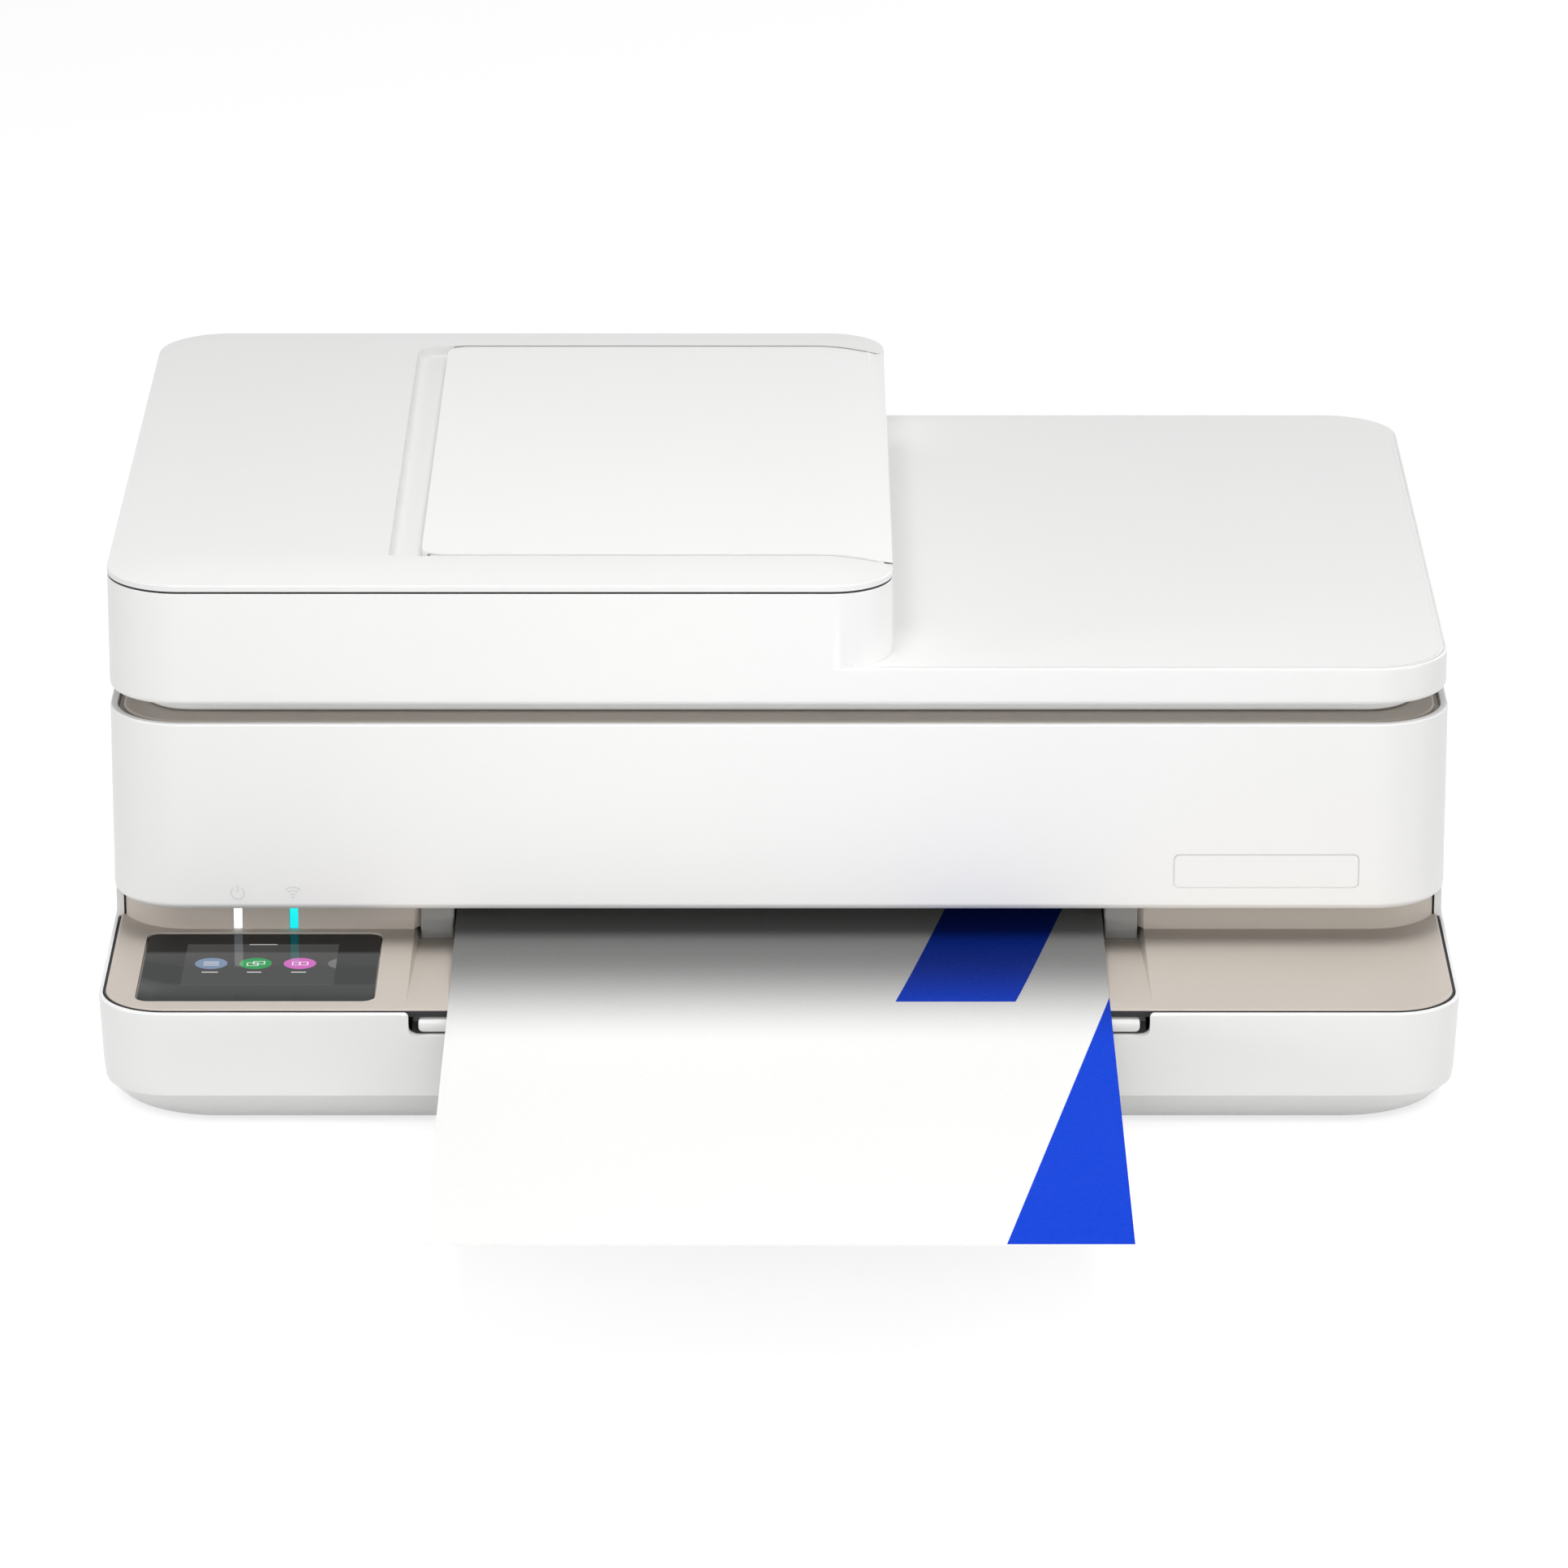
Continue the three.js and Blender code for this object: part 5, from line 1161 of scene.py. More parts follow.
@dataclass(frozen=True)
class LowerCasing:
    """Drawer front, sides and rear panel, cut from one shell, and the pan with its feet."""

    width: float = 434
    depth: float = 361
    corner: float = 22
    wall: float = 3
    taper: float = 1.1
    bottom: float = 2
    plinth_top: float = 13.7
    setback: float = 14
    plinth_corner: float = 34
    flare: float = 3
    shoulder: tuple[Triple, ...] = (
        (0, 1, 0.3),
        (0.25, 0.75, 0.06),
        (0.7, 0.6, 0),
        (3, 0.3, 0),
        (6, 0, 0),
    )
    rim: float = 41.7
    rim_edge: float = 0.8
    rim_wall: float = 1.2
    rebate: float = 4.5
    side_top: float = 52.6
    step_y: float = 92.8
    step_inset: float = 0.7
    seam_y: float = 26
    rear_seam: float = 150
    notch_depth: float = 7.6
    notch_corner: float = 2.5
    notch_ease: float = 1.4
    bay_half: float = 117.5
    rear_front: float = 100
    hole_corner: float = 0.8
    hole_depth: float = 12
    foot_inset: float = 46
    foot_front: float = 60
    foot_radii: Triple = (10.2, 11, 6.5)
    sockets: tuple[Quad, ...] = (
        (-126, 27, 22, 15),
        (125, 20, 13, 12),
        (104, 32, 10, 10),
        (84, 32, 10, 10),
    )

    def outline(self, side: float, front: float, radius: float) -> Outline:
        """The casing's outline at one height.

        Args:
            side: How far the sides and the back are drawn in.
            front: How far the front is drawn in.
            radius: Radius of the front corners.

        Returns:
            The outline.
        """
        half = self.width / 2
        radii = (radius, radius, self.corner, self.corner)
        return Outline(side - half, half - side, front, self.depth - side, radii)

    def levels(self) -> list[Level]:
        """The outer form from the plinth to the rounded rim.

        Returns:
            Heights and outlines.
        """
        rows = [(self.bottom, self.taper + self.flare, self.setback, self.plinth_corner)]
        rows += [
            (self.plinth_top + rise, self.taper + side, front, self.corner)
            for rise, side, front in self.shoulder
        ]
        made = [(z, self.outline(side, front, radius)) for z, side, front, radius in rows]
        return made + rounded(self.outline(0, 0, self.corner), self.rim, self.rim_edge)

    def cavity(self) -> Solid:
        """The room inside the walls.

        Returns:
            The cutter.
        """
        upright = len(self.shoulder) + 2
        inner = [(z, shape.inset(self.wall)) for z, shape in self.levels()[:upright]]
        first = (self.bottom - 1, inner[0][1].inset(0, 1))
        return loft([first, *inner, (self.side_top + 1, inner[-1][1])])

    def shell(self) -> Solid:
        """The whole wall, with the step that takes the deck and the higher sides behind it.

        Returns:
            The shell before it is cut into pieces.
        """
        rim = self.outline(0, 0, self.corner)
        high = rim.inset(self.step_inset)
        edge = rounded(high, self.side_top, self.rim_edge)
        upper = keep(loft([(self.rim - 2, high), *edge]), self.behind(self.step_y))
        rebate = slab(rim.inset(self.rim_wall), self.rim - self.rebate, self.rim + 1)
        return cut(
            add(loft(self.levels()), upper),
            self.cavity(),
            cut(rebate, self.behind(self.step_y)),
        )

    def behind(self, y: float) -> Solid:
        """All that lies behind a y."""
        return box(-FAR, FAR, y, FAR, -FAR, FAR)

    def notch(self) -> Solid:
        """The hand notch in the drawer front, with eased upper corners.

        Returns:
            The cutter.
        """
        ease, radius = self.notch_ease, self.notch_corner
        low, half = self.rim - self.notch_depth, self.bay_half
        right = [
            (half - radius + radius * math.sin(a), low + radius - radius * math.cos(a))
            for a in (math.radians(9 * i) for i in range(11))
        ]
        right += [
            (half + ease - ease * math.cos(a), self.rim - ease + ease * math.sin(a))
            for a in (math.radians(15 * i) for i in range(7))
        ]
        right.append((half + ease, self.rim + 20))
        left = [(-x, z) for x, z in reversed(right)]
        return prism(Axis.Y, right + left, -1, self.seam_y)

    def build(self) -> None:
        """Makes and hangs the pieces."""
        shell = self.shell()
        front = cut(copy(shell), self.behind(self.seam_y), self.notch())
        hang(front, "drawer_face", WHITE, "drawer", "drawer_front")
        rest = keep(shell, self.behind(self.seam_y + GAP))
        for side, name in ((-1, "side_panel_left"), (1, "side_panel_right")):
            x0, x1 = span(side, self.rear_seam, FAR)
            panel = keep(copy(rest), box(x0, x1, -FAR, FAR, -FAR, FAR))
            dress(panel, WHITE, "base", name)
        seam = self.rear_seam - GAP
        rear = cut(keep(rest, box(-seam, seam, self.rear_front, FAR, -FAR, FAR)), *self.holes())
        dress(rear, WHITE, "base", "rear_panel")
        self.pan()

    def holes(self) -> list[Solid]:
        """The holes for the sockets and buttons in the rear wall.

        Returns:
            The cutters.
        """
        made = []
        for x, z, width, height in self.sockets:
            shape = centred(x, z, width, height, self.hole_corner, GAP)
            made.append(prism(Axis.Y, shape.points(4), self.depth - self.hole_depth, FAR))
        return made

    def pan(self) -> None:
        """Makes the bottom pan with ribs and four ringed feet."""
        inner = self.wall + self.taper + self.flare + SLIP
        half = self.width / 2 - inner
        radii = (self.plinth_corner, self.plinth_corner, self.corner, self.corner)
        front = self.setback + self.plinth_corner / 2
        shape = Outline(-half, half, front, self.depth - inner, radii)
        low = self.bottom + GAP
        plate = loft([(low, shape.inset(0.6)), (low + 0.6, shape), (low + 2.2, shape)])
        foot_x = self.width / 2 - self.foot_inset
        tread, full, dimple = self.foot_radii
        rings = [(0, tread), (0.5, full), (low + 0.5, full)]
        feet = []
        for x in (-foot_x, foot_x):
            for y in (self.foot_front, self.depth - self.foot_inset):
                foot = stack([[(a, b, z) for a, b in circle(r, (x, y))] for z, r in rings])
                feet.append(cut(foot, rod(Axis.Z, dimple, -1, 0.6, (x, y))))
        dress(add(plate, *feet), GREY, "base", "bottom_pan")


@dataclass(frozen=True)
class ControlDeck:
    """The beige deck with its bay and neck, the touch glass and the two light bars."""

    casing: LowerCasing = LowerCasing()
    seam: float = 1
    thickness: float = 3.4
    proud: float = 0.75
    edge: float = 0.6
    neck_y: float = 77.8
    neck_wall: float = 2.5
    neck_corner: float = 23
    neck_top: float = 54.6
    bay_front: float = 9
    bay_back: float = 88
    drop: float = 3.3
    floor: float = 1.1
    bay_edge: float = 118.5
    bay_foot: float = 116.6
    glass: Outline = Outline(-204.5, -129, 10, 74, (4, 4, 4, 4))
    glass_thickness: float = 1.6
    glass_edge: float = 0.4
    glass_room: float = 0.5
    display_room: Quad = (-191.6, -142.1, 25.1, 64.4)
    light_x: Pair = (-175.9, -157.7)
    light_size: Pair = (2.7, 5)
    light_corner: float = 0.6
    gear_room: Triple = (12.5, -192.3, -185.3)
    gear_axis: Pair = (97, 42.2)
    lip_room_size: Pair = (5.8, 6)
    arch: float = 6
    # painted shade: sides and depth of the black strip that stands for the shade in the gap round
    # the deck
    shade_strip_sides: Pair = (-0.6, 0.3)
    shade_strip_depth: float = 2.5

    @property
    def top(self) -> float:
        """The deck's upper face."""
        return self.casing.rim + self.proud

    @property
    def bay_low(self) -> float:
        """The bay's floor at its back edge."""
        slope = self.drop / (self.neck_y - self.bay_front)
        return self.top - slope * (self.bay_back - self.bay_front)

    def plate(self) -> Solid:
        """The flat of the deck, rounded at its visible edge.

        Returns:
            The solid.
        """
        shape = self.shape()
        low = (self.top - self.thickness, shape)
        return loft([low, *rounded(shape, self.top, self.edge, back=0)])

    def shape(self) -> Outline:
        """The deck's outline inside the seam.

        Returns:
            The outline.
        """
        inset = self.casing.rim_wall + self.seam
        half, radius = self.casing.width / 2 - inset, self.casing.corner - inset
        back = self.casing.step_y - GAP
        return Outline(-half, half, inset, back, (radius, radius, 0.4, 0.4))

    def neck(self, grow: float) -> Outline:
        """The neck's outline.

        Args:
            grow: How far it is drawn in.

        Returns:
            The outline.
        """
        half = self.casing.width / 2 - self.casing.rim_wall - self.seam
        radii = (self.neck_corner,) * 4
        return Outline(-half, half, self.neck_y, self.casing.depth, radii).inset(grow)

    def walls(self) -> Solid:
        """The upright neck, open over the bay.

        Returns:
            The solid.
        """
        low = self.top - self.thickness
        outer = slab(self.neck(0), low, self.neck_top)
        back = self.casing.step_y - GAP
        wide, narrow, y = self.bay_edge, self.bay_foot, self.neck_y
        right = [(wide, 0), (wide, y), (narrow, y + self.neck_wall), (narrow, FAR)]
        mouth = right + [(-x, y) for x, y in reversed(right)]
        return cut(
            outer,
            slab(self.neck(self.neck_wall), -1, FAR),
            box(-FAR, FAR, back, FAR, -FAR, FAR),
            prism(Axis.Z, mouth, -FAR, FAR),
        )

    def lip_room(self) -> Solid:
        """The room for the extender's lip under the deck's front.

        Returns:
            The cutter.
        """
        half, low = self.casing.bay_half, self.casing.rim - self.casing.notch_depth
        depth, height = self.lip_room_size
        return box(-half, half, 0, depth, -FAR, low + height)

    def deck(self) -> Solid:
        """The deck with its bay, recess and holes.

        Returns:
            The solid.
        """
        half, low = self.bay_edge, self.top - self.thickness
        floor = [
            (self.bay_front - 1, low),
            (self.bay_back, self.bay_low - self.floor),
            (self.bay_back, self.top - 0.3),
            (self.bay_front - 1, self.top - 0.3),
        ]
        shelf = prism(Axis.X, floor, -half - 2, half + 2)
        radius, x0, x1 = self.gear_room
        return cut(
            add(self.plate(), shelf, self.walls()),
            self.bay_room(),
            box(-half - 3, half + 3, self.bay_back, FAR, -FAR, self.neck_top - self.arch),
            box(-self.bay_foot, self.bay_foot, self.bay_back, FAR, -FAR, FAR),
            *(self.light(x, GAP, self.top) for x in self.light_x),
            slab(self.glass.inset(-self.glass_room), self.top - self.glass_thickness - GAP, FAR),
            box(*self.display_room, 0, FAR),
            self.lip_room(),
            rod(Axis.X, radius, x0, x1, self.gear_axis),
        )

    def bay_room(self) -> Solid:
        """The room over the bay's sloping floor, with sides that lean outwards.

        Returns:
            The cutter.
        """
        rings = []
        for y in (self.bay_front - 0.5, self.bay_front, self.bay_back, self.bay_back + 1):
            full = self.top - self.bay_low
            share = (y - self.bay_front) / (self.bay_back - self.bay_front)
            depth = full * min(max(share, 0.003), 1.0)
            foot = self.bay_edge - (self.bay_edge - self.bay_foot) * depth / full
            high = self.top + 0.2
            right = [(foot, self.top - depth), (self.bay_edge, self.top), (self.bay_edge, high)]
            left = [(-x, z) for x, z in reversed(right)]
            rings.append([(x, y, z) for x, z in reversed(right + left)])
        return stack(rings)

    def shade_strip(self) -> Solid:
        """A black strip set in the gap between the deck and the casing's rim, as painted shade in
        that gap.

        Returns:
            The solid.
        """
        shape, (outer, inner) = self.shape(), self.shade_strip_sides
        low, high = self.casing.rim - self.shade_strip_depth, self.top - self.edge
        ring = slab(shape.inset(outer, back=0), low, high)
        return cut(ring, slab(shape.inset(inner, back=-1), 0, FAR), self.lip_room())

    def light(self, x: float, grow: float, low: float) -> Solid:
        """A light bar or the hole round it.

        Args:
            x: Its middle.
            grow: Room round it.
            low: Its underside.

        Returns:
            The solid.
        """
        half = self.light_size[0] / 2 + grow
        back = self.neck_y + self.light_size[1] + grow
        radii = (self.light_corner + grow,) * 4
        shape = Outline(x - half, x + half, self.neck_y - grow, back, radii)
        return slab(shape, low, self.neck_top + grow)

    def build(self) -> None:
        """Makes and hangs the pieces."""
        dress(self.deck(), BEIGE, "base", "control_deck")
        # painted shade: a black strip in the gap round the deck
        hang(self.shade_strip(), "deck_seal", TYRE, "base")
        top = self.top - self.proud / 2
        edge = rounded(self.glass, top, self.glass_edge)
        pane = loft([(top - self.glass_thickness, self.glass), *edge])
        dress(pane, SCREEN, "base", "touch_glass")
        lights = zip(self.light_x, ("power_light", "wireless_light"), (POWER, SIGNAL))
        for x, node, finish in lights:
            dress(self.light(x, 0, self.top + GAP), finish, "base", node)


@dataclass(frozen=True)
class UpperUnit:
    """The front cover with its marks, and the scanner bed with its rod and glass."""

    width: float = 432
    front: float = 60.1
    back: float = 357.4
    bottom: float = 55.3
    top: float = 118.2
    corner: float = 24.5
    wall: float = 2.3
    plate: Quad = (157, 68.5, 60, 11.7)
    plate_depth: float = 0.2
    plate_line: Pair = (0.5, 0.75)
    power_sign: Pair = (-174.6, 61.2)
    wireless_sign: Pair = (-156.8, 59.6)
    sign_bar: Pair = (61.4, 64)
    sign_line: float = 0.3
    sign_depths: Pair = (0.12, 0.3)
    hinge: Quad = (150, 352, 61, 3)
    notch: Quad = (11, 3, 12, 2)
    ear_width: float = 4
    ear_wall: float = 3
    under_edge: Quad = (2.0, 2.3, 1.6, 0.4)
    rim_edge: float = 0.6
    bed_seam: float = 2
    bed_edge: float = 0.8
    bed_drop: float = 0.1
    bed_plate: float = 3.4
    tub: Quad = (205, 82, 339, 95)
    tub_wall: float = 2
    tub_corner: float = 6
    rail_axis: Pair = (206, 101.7)
    rail_radius: float = 3
    rail_gap: float = 1.5
    window: Quad = (-166, 136, 98, 314)
    window_corner: float = 1.5
    strip: Pair = (-194, -174)
    lap: float = 2.5
    pane: float = 2
    post: Quad = (120, 349.5, 20, 7)

    def outline(self) -> Outline:
        """The cover's outline."""
        half = self.width / 2
        return Outline(-half, half, self.front, self.back, (self.corner,) * 4)

    def cover(self) -> Solid:
        """The open box of the cover with its name-plate recess and hinge ears.

        Returns:
            The solid.
        """
        shape, (radius, rise, inset, least) = self.outline(), self.under_edge
        lower = [(self.bottom + rise - a, shape.inset(b)) for a, b in reversed(quarter(radius))]
        lower = [level for level in lower if level[0] > self.bottom + least]
        levels = [
            (self.bottom, shape.inset(inset)),
            *lower,
            *rounded(shape, self.top, self.rim_edge),
        ]
        x, z, width, height = self.plate
        plate = centred(x, z, width, height, 2)
        width, depth = self.plate_line
        line = cut(
            prism(Axis.Y, plate.points(6), 0, self.front + depth),
            prism(Axis.Y, plate.inset(width).points(6), -1, FAR),
        )
        hinge_x, hinge_y, hinge_z, radius = self.hinge
        notches, ears = [], []
        for side in (-1, 1):
            x0, x1 = span(side, hinge_x - self.notch[0], hinge_x - self.notch[1])
            high = hinge_z + radius + self.notch[3]
            notches.append(box(x0, x1, hinge_y - self.notch[2], FAR, 0, high))
            x0, x1 = span(side, hinge_x, hinge_x + self.ear_width)
            reach = radius + self.ear_wall
            ear = box(x0, x1, hinge_y - reach, self.back - 1, self.bottom + 0.7, hinge_z + reach)
            bore = rod(Axis.X, radius + RUNNING, x0 - 1, x1 + 1, (hinge_y, hinge_z))
            ears.append(cut(ear, bore))
        body = cut(
            loft(levels),
            slab(shape.inset(self.wall), 0, FAR),
            prism(Axis.Y, plate.points(6), 0, self.front + self.plate_depth),
            line,
            *notches,
        )
        return add(body, *ears)

    def marks(self) -> Solid:
        """The raised power and wireless signs over the two light bars.

        Returns:
            The thin solids, as one object.
        """
        def arc(centre: Pair, radius: float, first: float, last: float) -> Solid:
            """A raised arc.

            Args:
                centre: Its centre, as x and z.
                radius: Its radius.
                first: Its first angle, in degrees.
                last: Its last angle.

            Returns:
                The solid.
            """
            turns = [math.radians(first + (last - first) * i / 24) for i in range(25)]
            rims = (radius + line, turns), (radius - line, turns[::-1])
            rim = [(r, t) for r, row in rims for t in row]
            points = [(centre[0] + r * math.cos(t), centre[1] + r * math.sin(t)) for r, t in rim]
            return prism(Axis.Y, points, *faces)

        power, wireless, line = self.power_sign, self.wireless_sign, self.sign_line
        faces = self.front - self.sign_depths[0], self.front + self.sign_depths[1]
        bar = box(power[0] - line, power[0] + line, *faces, *self.sign_bar)
        signs = [bar, *(arc(wireless, r, 45, 135) for r in (1.2, 2.4, 3.6))]
        dot = prism(Axis.Y, circle(0.5, wireless, 16), *faces)
        return add(arc(power, 2.1, 125, 415), *signs, dot)

    def bed(self) -> Solid:
        """The bed plate over its tub, with both windows and the seat for the glass.

        Returns:
            The solid.
        """
        flange = self.outline().inset(self.wall + GAP)
        face = self.outline().inset(self.wall + self.bed_seam)
        top = self.top - self.bed_drop
        under, step = top - self.bed_plate, top - 2
        plate = loft(
            [(under, flange), (step - 0.1, flange), (step, face)]
            + rounded(face, top, self.bed_edge)
        )
        half, front, back, low = self.tub
        wall = self.tub_wall
        shape = Outline(-half, half, front, back, (self.tub_corner,) * 4)
        tub = slab(shape, low, under + 0.5)
        inside = slab(shape.inset(wall), low + wall, under)
        seat = top - self.pane - 2 * GAP
        left, right, *_ = self.window
        windows = [
            self.room(left, right, 0, under - 1, FAR),
            self.room(*self.strip, 0, under - 1, FAR),
            self.room(self.strip[0], right, self.lap + GAP, seat, FAR),
        ]
        return cut(add(plate, tub), inside, *windows, *(self.post_room(side) for side in (-1, 1)))

    def room(self, left: float, right: float, lap: float, low: float, high: float) -> Solid:
        """A rounded block over part of the scanning area.

        Args:
            left: Its left side.
            right: Its right side.
            lap: How far it grows past the area on all sides.
            low: Its underside.
            high: Its top.

        Returns:
            The solid.
        """
        _, _, front, back = self.window
        radii = (self.window_corner,) * 4
        return slab(Outline(left - lap, right + lap, front - lap, back + lap, radii), low, high)

    def post_room(self, side: int) -> Solid:
        """The slot for a lid post.

        Args:
            side: The left (-1) or the right (1) post.

        Returns:
            The cutter.
        """
        x, y, width, depth = self.post
        x0, x1 = span(side, x - width / 2 - SLIP, x + width / 2 + SLIP)
        return box(x0, x1, y - depth / 2 - SLIP, y + depth / 2 + SLIP, 0, FAR)

    def build(self) -> None:
        """Makes and hangs the pieces."""
        dress(self.cover(), WHITE, "upper_unit", "front_cover")
        hang(self.marks(), "cover_signs", SIGN, "upper_unit")
        dress(self.bed(), BEIGE, "upper_unit", "scanner_bed")
        end = self.tub[0] - self.rail_gap
        rail = rod(Axis.X, self.rail_radius, -end, end, self.rail_axis)
        hang(rail, "scan_rod", STEEL, "upper_unit")
        top = self.top - self.bed_drop - GAP
        pane = self.room(self.strip[0], self.window[1], self.lap, top - self.pane, top)
        dress(pane, GLASS, "upper_unit", "scanner_glass")


@dataclass(frozen=True)
class Lid:
    """The lid shell with the feeder's walls, and the frame and pad under it."""

    upper: UpperUnit = UpperUnit()
    right: float = 215.3
    bottom: float = 124.8
    top: float = 137
    wall: float = 2.4
    lip: Outline = Outline(-205, 205, 73.7, 339, (16, 16, 16, 16))
    feeder_right: float = 36.5
    feeder_corner: float = 20
    feeder_wall: float = 2.4
    feeder_edge: float = 0.4
    seam: float = 162.1
    axis_z: float = 129.5
    pin: float = 1.8
    pin_grip: float = 2
    pad: float = 3
    contact: float = 0.1
    under_edge: tuple[Pair, ...] = ((0, 1), (0.3, 0.55), (0.9, 0.15), (1.6, 0))
    edge: float = 0.65
    fall: float = 3
    back_roll: float = 15
    mouth: Triple = (82.8, 330.1, 156.4)
    exit: Pair = (140.4, 151)
    ear: float = 2.5
    ear_drop: float = 3.5
    creases: tuple[Triple, ...] = ((0.8, 1.15, 0.45), (2.3, 2.5, 0.15))
    # painted shade: the black strip in the seam under the feeder cover, and where it is left out
    shade_strip_sides: Pair = (0.2, 2)
    shade_strip_depths: Pair = (0.6, 0.62)
    shade_strip_gap: Pair = (80.5, 332.4)
    lip_edge: float = 0.6
    lip_top: float = 125.8
    post_gap: float = 4
    post_front: float = 5

    def outline(self) -> Outline:
        """The lid's outline."""
        return replace(self.upper.outline(), right=self.right)

    def feeder(self) -> Outline:
        """The feeder's outline."""
        left, right = self.upper.corner, self.feeder_corner
        return replace(self.outline(), right=self.feeder_right, radii=(left, right, right, left))

    def slab(self) -> Solid:
        """The flat part, whose back edge rolls down over a wide, soft curve.

        Returns:
            The solid.
        """
        shape = self.outline()
        rows = [(self.bottom + rise, shape.inset(inset)) for rise, inset in self.under_edge]
        for i in range(9):
            share = i / 8
            edge = max(0.0, (share - 0.75) * 4)
            inset = self.edge * (1 - math.sqrt(1 - edge**2))
            back = self.back_roll * (1 - math.sqrt(1 - share**2)) ** 0.9
            z = self.top - self.fall + self.fall * share
            rows.append((z, shape.inset(inset, inset, max(inset, back))))
        return loft(rows)

    def shell(self) -> Solid:
        """The white shell with its openings, ears and pins.

        Returns:
            The solid.
        """
        feeder, under = self.feeder(), self.top - self.wall
        walls = [(self.bottom + 3, feeder), *rounded(feeder, self.seam, self.feeder_edge, 3)]
        inset = self.wall
        below = slab(self.outline().inset(inset, inset, inset + 3), 0, under)
        above = slab(feeder.inset(self.feeder_wall), self.top + GAP, FAR)
        _, _, front, back = self.upper.window
        cutters = [
            below,
            above,
            box(0, FAR, *self.mouth, FAR),
            prism(Axis.X, Outline(front, back, *self.exit, (2, 2, 2, 2)).points(6), 0, FAR),
        ]
        post_x, post_y, post_width, post_depth = self.upper.post
        ears, pins = [], []
        near = post_width / 2 + SLIP
        for side in (-1, 1):
            x0, x1 = span(side, post_x - near, post_x + near)
            high = self.axis_z + post_depth / 2 + 0.4
            cutters.append(box(x0, x1, post_y - post_depth, FAR, 0, high))
            for end in (-1, 1):
                d0, d1 = span(end, near, near + self.ear)
                x, y0 = side * post_x, post_y - post_depth / 2
                low = self.axis_z - self.ear_drop
                ears.append(box(x + d0, x + d1, y0, post_y + post_depth / 2, low, under + 0.5))
            reach = near + self.pin_grip
            x = side * post_x
            pins.append(rod(Axis.X, self.pin, x - reach, x + reach, (post_y, self.axis_z)))
        flat = cut(self.slab(), self.crease())
        return add(cut(add(flat, loft(walls)), *cutters), *ears, *pins)

    def crease(self) -> Solid:
        """The two fine lines just inside the flat's rounded edge.

        Returns:
            The cutters, as one object.
        """
        edge, lines = self.outline(), []
        for near, far, depth in self.creases:
            outer = slab(edge.inset(near), self.top - depth, self.top + 5)
            lines.append(cut(outer, slab(edge.inset(far), 0, FAR)))
        return merged(*lines)

    def shade_strip(self) -> Solid:
        """A black strip that lies on the feeder's walls, in the seam under the feeder cover, as
        painted shade in that seam.

        Returns:
            The solid.
        """
        feeder, (outer, inner), (drop, rise) = self.feeder(), self.shade_strip_sides, self.shade_strip_depths
        ring = slab(feeder.inset(outer), self.seam - drop, self.seam + rise)
        return cut(ring, slab(feeder.inset(inner), 0, FAR), box(0, FAR, *self.shade_strip_gap, 0, FAR))

    def frame(self) -> Solid:
        """The underside with its lip, the pad's recess and the drum opening.

        Returns:
            The solid.
        """
        underside = self.upper.top + self.contact
        pad_top = underside + self.pad
        low, edge = underside + 0.35, self.lip_edge
        levels = [(low, self.lip.inset(edge)), (low + edge, self.lip), (self.lip_top, self.lip)]
        grip = self.wall + GAP
        inside = self.outline().inset(grip, grip, grip + 3)
        flange = slab(inside, self.bottom + 0.4, self.bottom + 2.4)
        post_x, post_y, post_width, post_depth = self.upper.post
        rooms = []
        for side in (-1, 1):
            width = post_width / 2 + self.post_gap
            x0, x1 = span(side, post_x - width, post_x + width)
            rooms.append(box(x0, x1, post_y - post_depth / 2 - self.post_front, FAR, 0, FAR))
        left, right, front, back = self.upper.window
        recess = self.upper.room(left, right, 1 + GAP, 0, pad_top + GAP)
        strip = self.upper.strip
        drum = box(strip[0], strip[1], front, back, 0, pad_top)
        return cut(add(loft(levels), flange), *rooms, recess, drum)

    def build(self) -> None:
        """Makes and hangs the pieces."""
        dress(self.shell(), WHITE, "lid", "lid_shell")
        # painted shade: a black strip in the seam under the feeder cover
        hang(self.shade_strip(), "feeder_seal", TYRE, "lid")
        dress(self.frame(), UNDER, "lid", "lid_frame")
        left, right, *_ = self.upper.window
        low = self.upper.top + self.contact
        pad = self.upper.room(left, right, 1, low, low + self.pad)
        dress(pad, FELT, "lid", "lid_pad")


